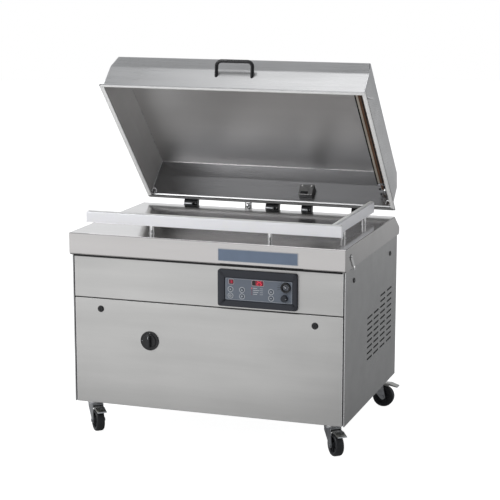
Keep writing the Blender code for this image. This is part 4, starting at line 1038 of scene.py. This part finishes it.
def wheel_tread():
    """Tyre with rounded shoulders, two fine grooves and a dished side."""
    half = [(0.0285, 0.0118), (0.0300, 0.0142), (0.0330, 0.0150), (0.0368, 0.0146), (0.0388, 0.0125),
            (0.0397, 0.0095), (0.0399, 0.0062), (0.0394, 0.0058), (0.0394, 0.0050), (0.0400, 0.0046)]
    return turned_ring(half + [(WHEEL_RADIUS, 0.0)] + mirrored(half), 72)


def mirrored(profile):
    return [(radius, -height) for radius, height in reversed(profile)]


def wheel_hub():
    """Plastic rim with ribs between its hub and its ring."""
    half = [(0.0290, 0.0128), (0.0262, 0.0128), (0.0252, 0.0066), (0.0125, 0.0060), (0.0118, 0.0165),
            (0.0046, 0.0170)]
    shapes = [(turned_ring(half + mirrored(half), 64), LEVEL)]
    for step in range(8):
        turn = Matrix.Rotation(math.radians(45 * step), 4, "Z")
        for low, high in ((-0.0112, -0.0058), (0.0058, 0.0112)):
            shapes.append((block((0.0112, -0.0011, low), (0.0262, 0.0011, high), 0.0004), turn))
    return merged(shapes)


def make_casters():
    for joint in frame["joints"]:
        if not joint["name"].startswith("wheel_"):
            continue
        place = joint["child"].removeprefix("wheel_")
        centre, axle = Vector(joint["pos_m"]), Vector(joint["axis"])
        turn = Matrix.Translation(centre) @ axle.to_track_quat("Z", "Y").to_matrix().to_4x4()
        tread = add(f"tread_{place}", wheel_tread(), "rubber", joint["child"], turn, 50.0)
        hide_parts(f"caster_wheel_{place}")
        add(f"hub_{place}", wheel_hub(), "hub", joint["child"], turn)
        fork = f"fork_{place}"
        for side, name in ((1.0, "outer"), (-1.0, "inner")):
            seat = turn @ Matrix.Translation((0.0, 0.0, side * 0.0207))
            if side < 0:
                seat = seat @ DOWN
            nut = prism(hexagon(0.0070), 0.0046)
            bmesh.ops.bevel(nut, geom=nut.edges[:], offset=0.0006, segments=2, affect="EDGES")
            add(f"axle_nut_{place}_{name}", nut, "zinc", fork, seat)
        swivel = next(j for j in frame["joints"] if j["name"] == f"fork_{place}_swivel")
        head = Matrix.Translation((swivel["pos_m"][0], swivel["pos_m"][1], 0.0))
        race = turned_ring([(0.0200, 0.0995), (0.0282, 0.0995), (0.0286, 0.1010), (0.0270, 0.1040),
                            (0.0272, 0.1070), (0.0200, 0.1070)], 56)
        add(f"swivel_race_{place}", race, "polished", fork, head)
        make_pedal_trim(place)


def make_pedal_trim(place):
    """Pale strip along the tip of the brake pedal: painted highlight on its front edge."""
    joint = next(j for j in frame["joints"] if j["name"] == f"pedal_{place}_press")
    axle = Vector(joint["axis"])
    forward = axle.cross(Vector((0.0, 0.0, 1.0)))
    centre = Vector(joint["pos_m"])
    matrix = Matrix.Translation(centre) @ Matrix((forward, axle, Vector((0, 0, 1)))).transposed().to_4x4()
    lip = block((PEDAL_TIP - 0.0057, -0.0170, -0.0092), (PEDAL_TIP, 0.0170, -0.0062), 0.0011)
    add(f"pedal_tip_painted_highlight_{place}", lip, "pale", f"pedal_{place}", matrix)


# ---------------------------------------------------------------- studio

def add_softbox(name, place, target, size, energy):
    light = bpy.data.lights.new(name, "AREA")
    light.shape = "RECTANGLE"
    light.size, light.size_y = size
    light.energy = energy
    lamp = bpy.data.objects.new(name, light)
    bpy.context.scene.collection.objects.link(lamp)
    lamp.location = place
    lamp.rotation_mode = "QUATERNION"
    lamp.rotation_quaternion = (Vector(target) - Vector(place)).to_track_quat("-Z", "Y")


AMBIENT = 0.28
STUDIO_LOBES = (                                # direction, sharpness and strength of the soft lights
    ((0.10, -0.15, 0.98), 12.0, 0.50),
    ((-0.85, -0.45, 0.10), 2.0, 0.40),
    ((-0.55, 0.80, 0.20), 6.0, 0.75),
    ((-0.20, -0.98, 0.00), 5.0, 0.30),
    ((0.95, 0.30, 0.05), 3.0, 0.35),
)
CAMERA_SIDE = (0.32, -0.93, 0.10)               # the room behind the camera is darker
CAMERA_SIDE_SHARPNESS = 6.0
CAMERA_SIDE_SHADE = 0.85
STUDIO_TINT = (0.97, 0.985, 1.0, 1.0)
WHITE = (1.0, 1.0, 1.0, 1.0)


def lobe(tree, direction, towards, sharpness):
    """1 for a direction that points at a place, falling to 0 away from it."""
    dot = tree.nodes.new("ShaderNodeVectorMath")
    dot.operation = "DOT_PRODUCT"
    dot.inputs[1].default_value = Vector(towards).normalized()
    tree.links.new(direction, dot.inputs[0])
    return math_node(tree, "POWER", math_node(tree, "MAXIMUM", dot.outputs["Value"], 0.0), sharpness)


def make_world():
    """White to the camera, and a soft studio to everything else: bright above and at the left."""
    world = bpy.data.worlds.new("studio")
    bpy.context.scene.world = world
    world.use_nodes = True
    tree = world.node_tree
    background, output = tree.nodes["Background"], tree.nodes["World Output"]
    direction = tree.nodes.new("ShaderNodeTexCoord").outputs["Generated"]
    total = AMBIENT
    for towards, sharpness, strength in STUDIO_LOBES:
        light = math_node(tree, "MULTIPLY", lobe(tree, direction, towards, sharpness), strength)
        total = math_node(tree, "ADD", total, light)
    dark = lobe(tree, direction, CAMERA_SIDE, CAMERA_SIDE_SHARPNESS)
    left_over = math_node(tree, "SUBTRACT", 1.0, math_node(tree, "MULTIPLY", dark, CAMERA_SIDE_SHADE))
    tree.links.new(math_node(tree, "MULTIPLY", total, left_over), background.inputs["Strength"])
    background.inputs["Color"].default_value = STUDIO_TINT
    white = tree.nodes.new("ShaderNodeBackground")
    white.inputs["Color"].default_value = WHITE
    mix = tree.nodes.new("ShaderNodeMixShader")
    camera_ray = tree.nodes.new("ShaderNodeLightPath").outputs["Is Camera Ray"]
    for source, target in zip((camera_ray, background.outputs[0], white.outputs[0]), mix.inputs):
        tree.links.new(source, target)
    tree.links.new(mix.outputs[0], output.inputs["Surface"])


def make_floor():
    """Plain white floor, with a pale card lying in front of the machine to light it from below."""
    shape = bmesh.new()
    bmesh.ops.create_circle(shape, cap_ends=True, radius=14.0, segments=64)
    mesh = bpy.data.meshes.new("floor")
    shape.to_mesh(mesh)
    shape.free()
    floor = bpy.data.objects.new("floor", mesh)
    bpy.context.scene.collection.objects.link(floor)
    floor.location.z = -0.0005
    mesh.materials.append(floor_material())


def floor_material():
    """White to the camera. Other rays see the card, and a brighter floor far away."""
    material = bpy.data.materials.new("white_floor")
    material.use_nodes = True
    tree = material.node_tree
    principled = tree.nodes["Principled BSDF"]
    principled.inputs["Base Color"].default_value = (0.45, 0.45, 0.45, 1.0)
    principled.inputs["Roughness"].default_value = 0.9
    principled.inputs["Emission Color"].default_value = WHITE
    place = tree.nodes.new("ShaderNodeTexCoord").outputs["Object"]
    split = tree.nodes.new("ShaderNodeSeparateXYZ")
    tree.links.new(place, split.inputs["Vector"])
    card = math_node(tree, "MULTIPLY", ramp(tree, split.outputs["Y"], -0.4, -1.1, 0.0, 0.42),
                     ramp(tree, split.outputs["X"], 0.45, -0.05, 0.0, 1.0))
    distance = tree.nodes.new("ShaderNodeVectorMath")
    distance.operation = "LENGTH"
    tree.links.new(place, distance.inputs[0])
    far = ramp(tree, distance.outputs["Value"], 2.5, 6.0, 0.05, 0.30)
    camera_ray = tree.nodes.new("ShaderNodeLightPath").outputs["Is Camera Ray"]
    glow = ramp(tree, camera_ray, 0.0, 1.0, 0.0, 0.95)
    tree.links.new(math_node(tree, "ADD", card, far), glow.node.inputs["To Min"])
    tree.links.new(glow, principled.inputs["Emission Strength"])
    return material


def make_camera():
    """Front right of the machine, slightly above it, as far off as a long lens needs."""
    data = bpy.data.cameras.new("camera")
    data.lens = 114.4
    data.sensor_width = 36.0
    camera = bpy.data.objects.new("camera", data)
    bpy.context.scene.collection.objects.link(camera)
    camera.location = (1.8521, FRONT - 4.9674, 1.7383)
    camera.rotation_euler = (math.radians(90 - 11.188), 0.0, math.radians(18.798))
    bpy.context.scene.camera = camera


def make_studio():
    make_world()
    make_floor()
    add_softbox("key", (-2.2, -3.0, 3.4), (0, 0, 0.8), (2.4, 1.8), 50)
    add_softbox("top", (0.2, -0.6, 3.8), (0, 0, 0.8), (2.6, 1.6), 14)
    make_camera()
    bpy.context.scene.view_settings.view_transform = "Standard"


for look_name, node_names in DRESSING.items():
    for node_name in node_names:
        dress(node_name, look_name)
for node_name in nodes:
    if node_name.startswith("caster_fork"):
        dress(node_name, "zinc")
    if node_name.startswith("brake_pedal"):
        dress(node_name, "pedal")
paint_lid_inside_light_and_shade()
shade_rear_lip()

make_lid()
make_deck()
make_controls()
make_main_switch()
make_lock_rings()
make_label_border()
make_cabinet()
make_casters()
make_studio()
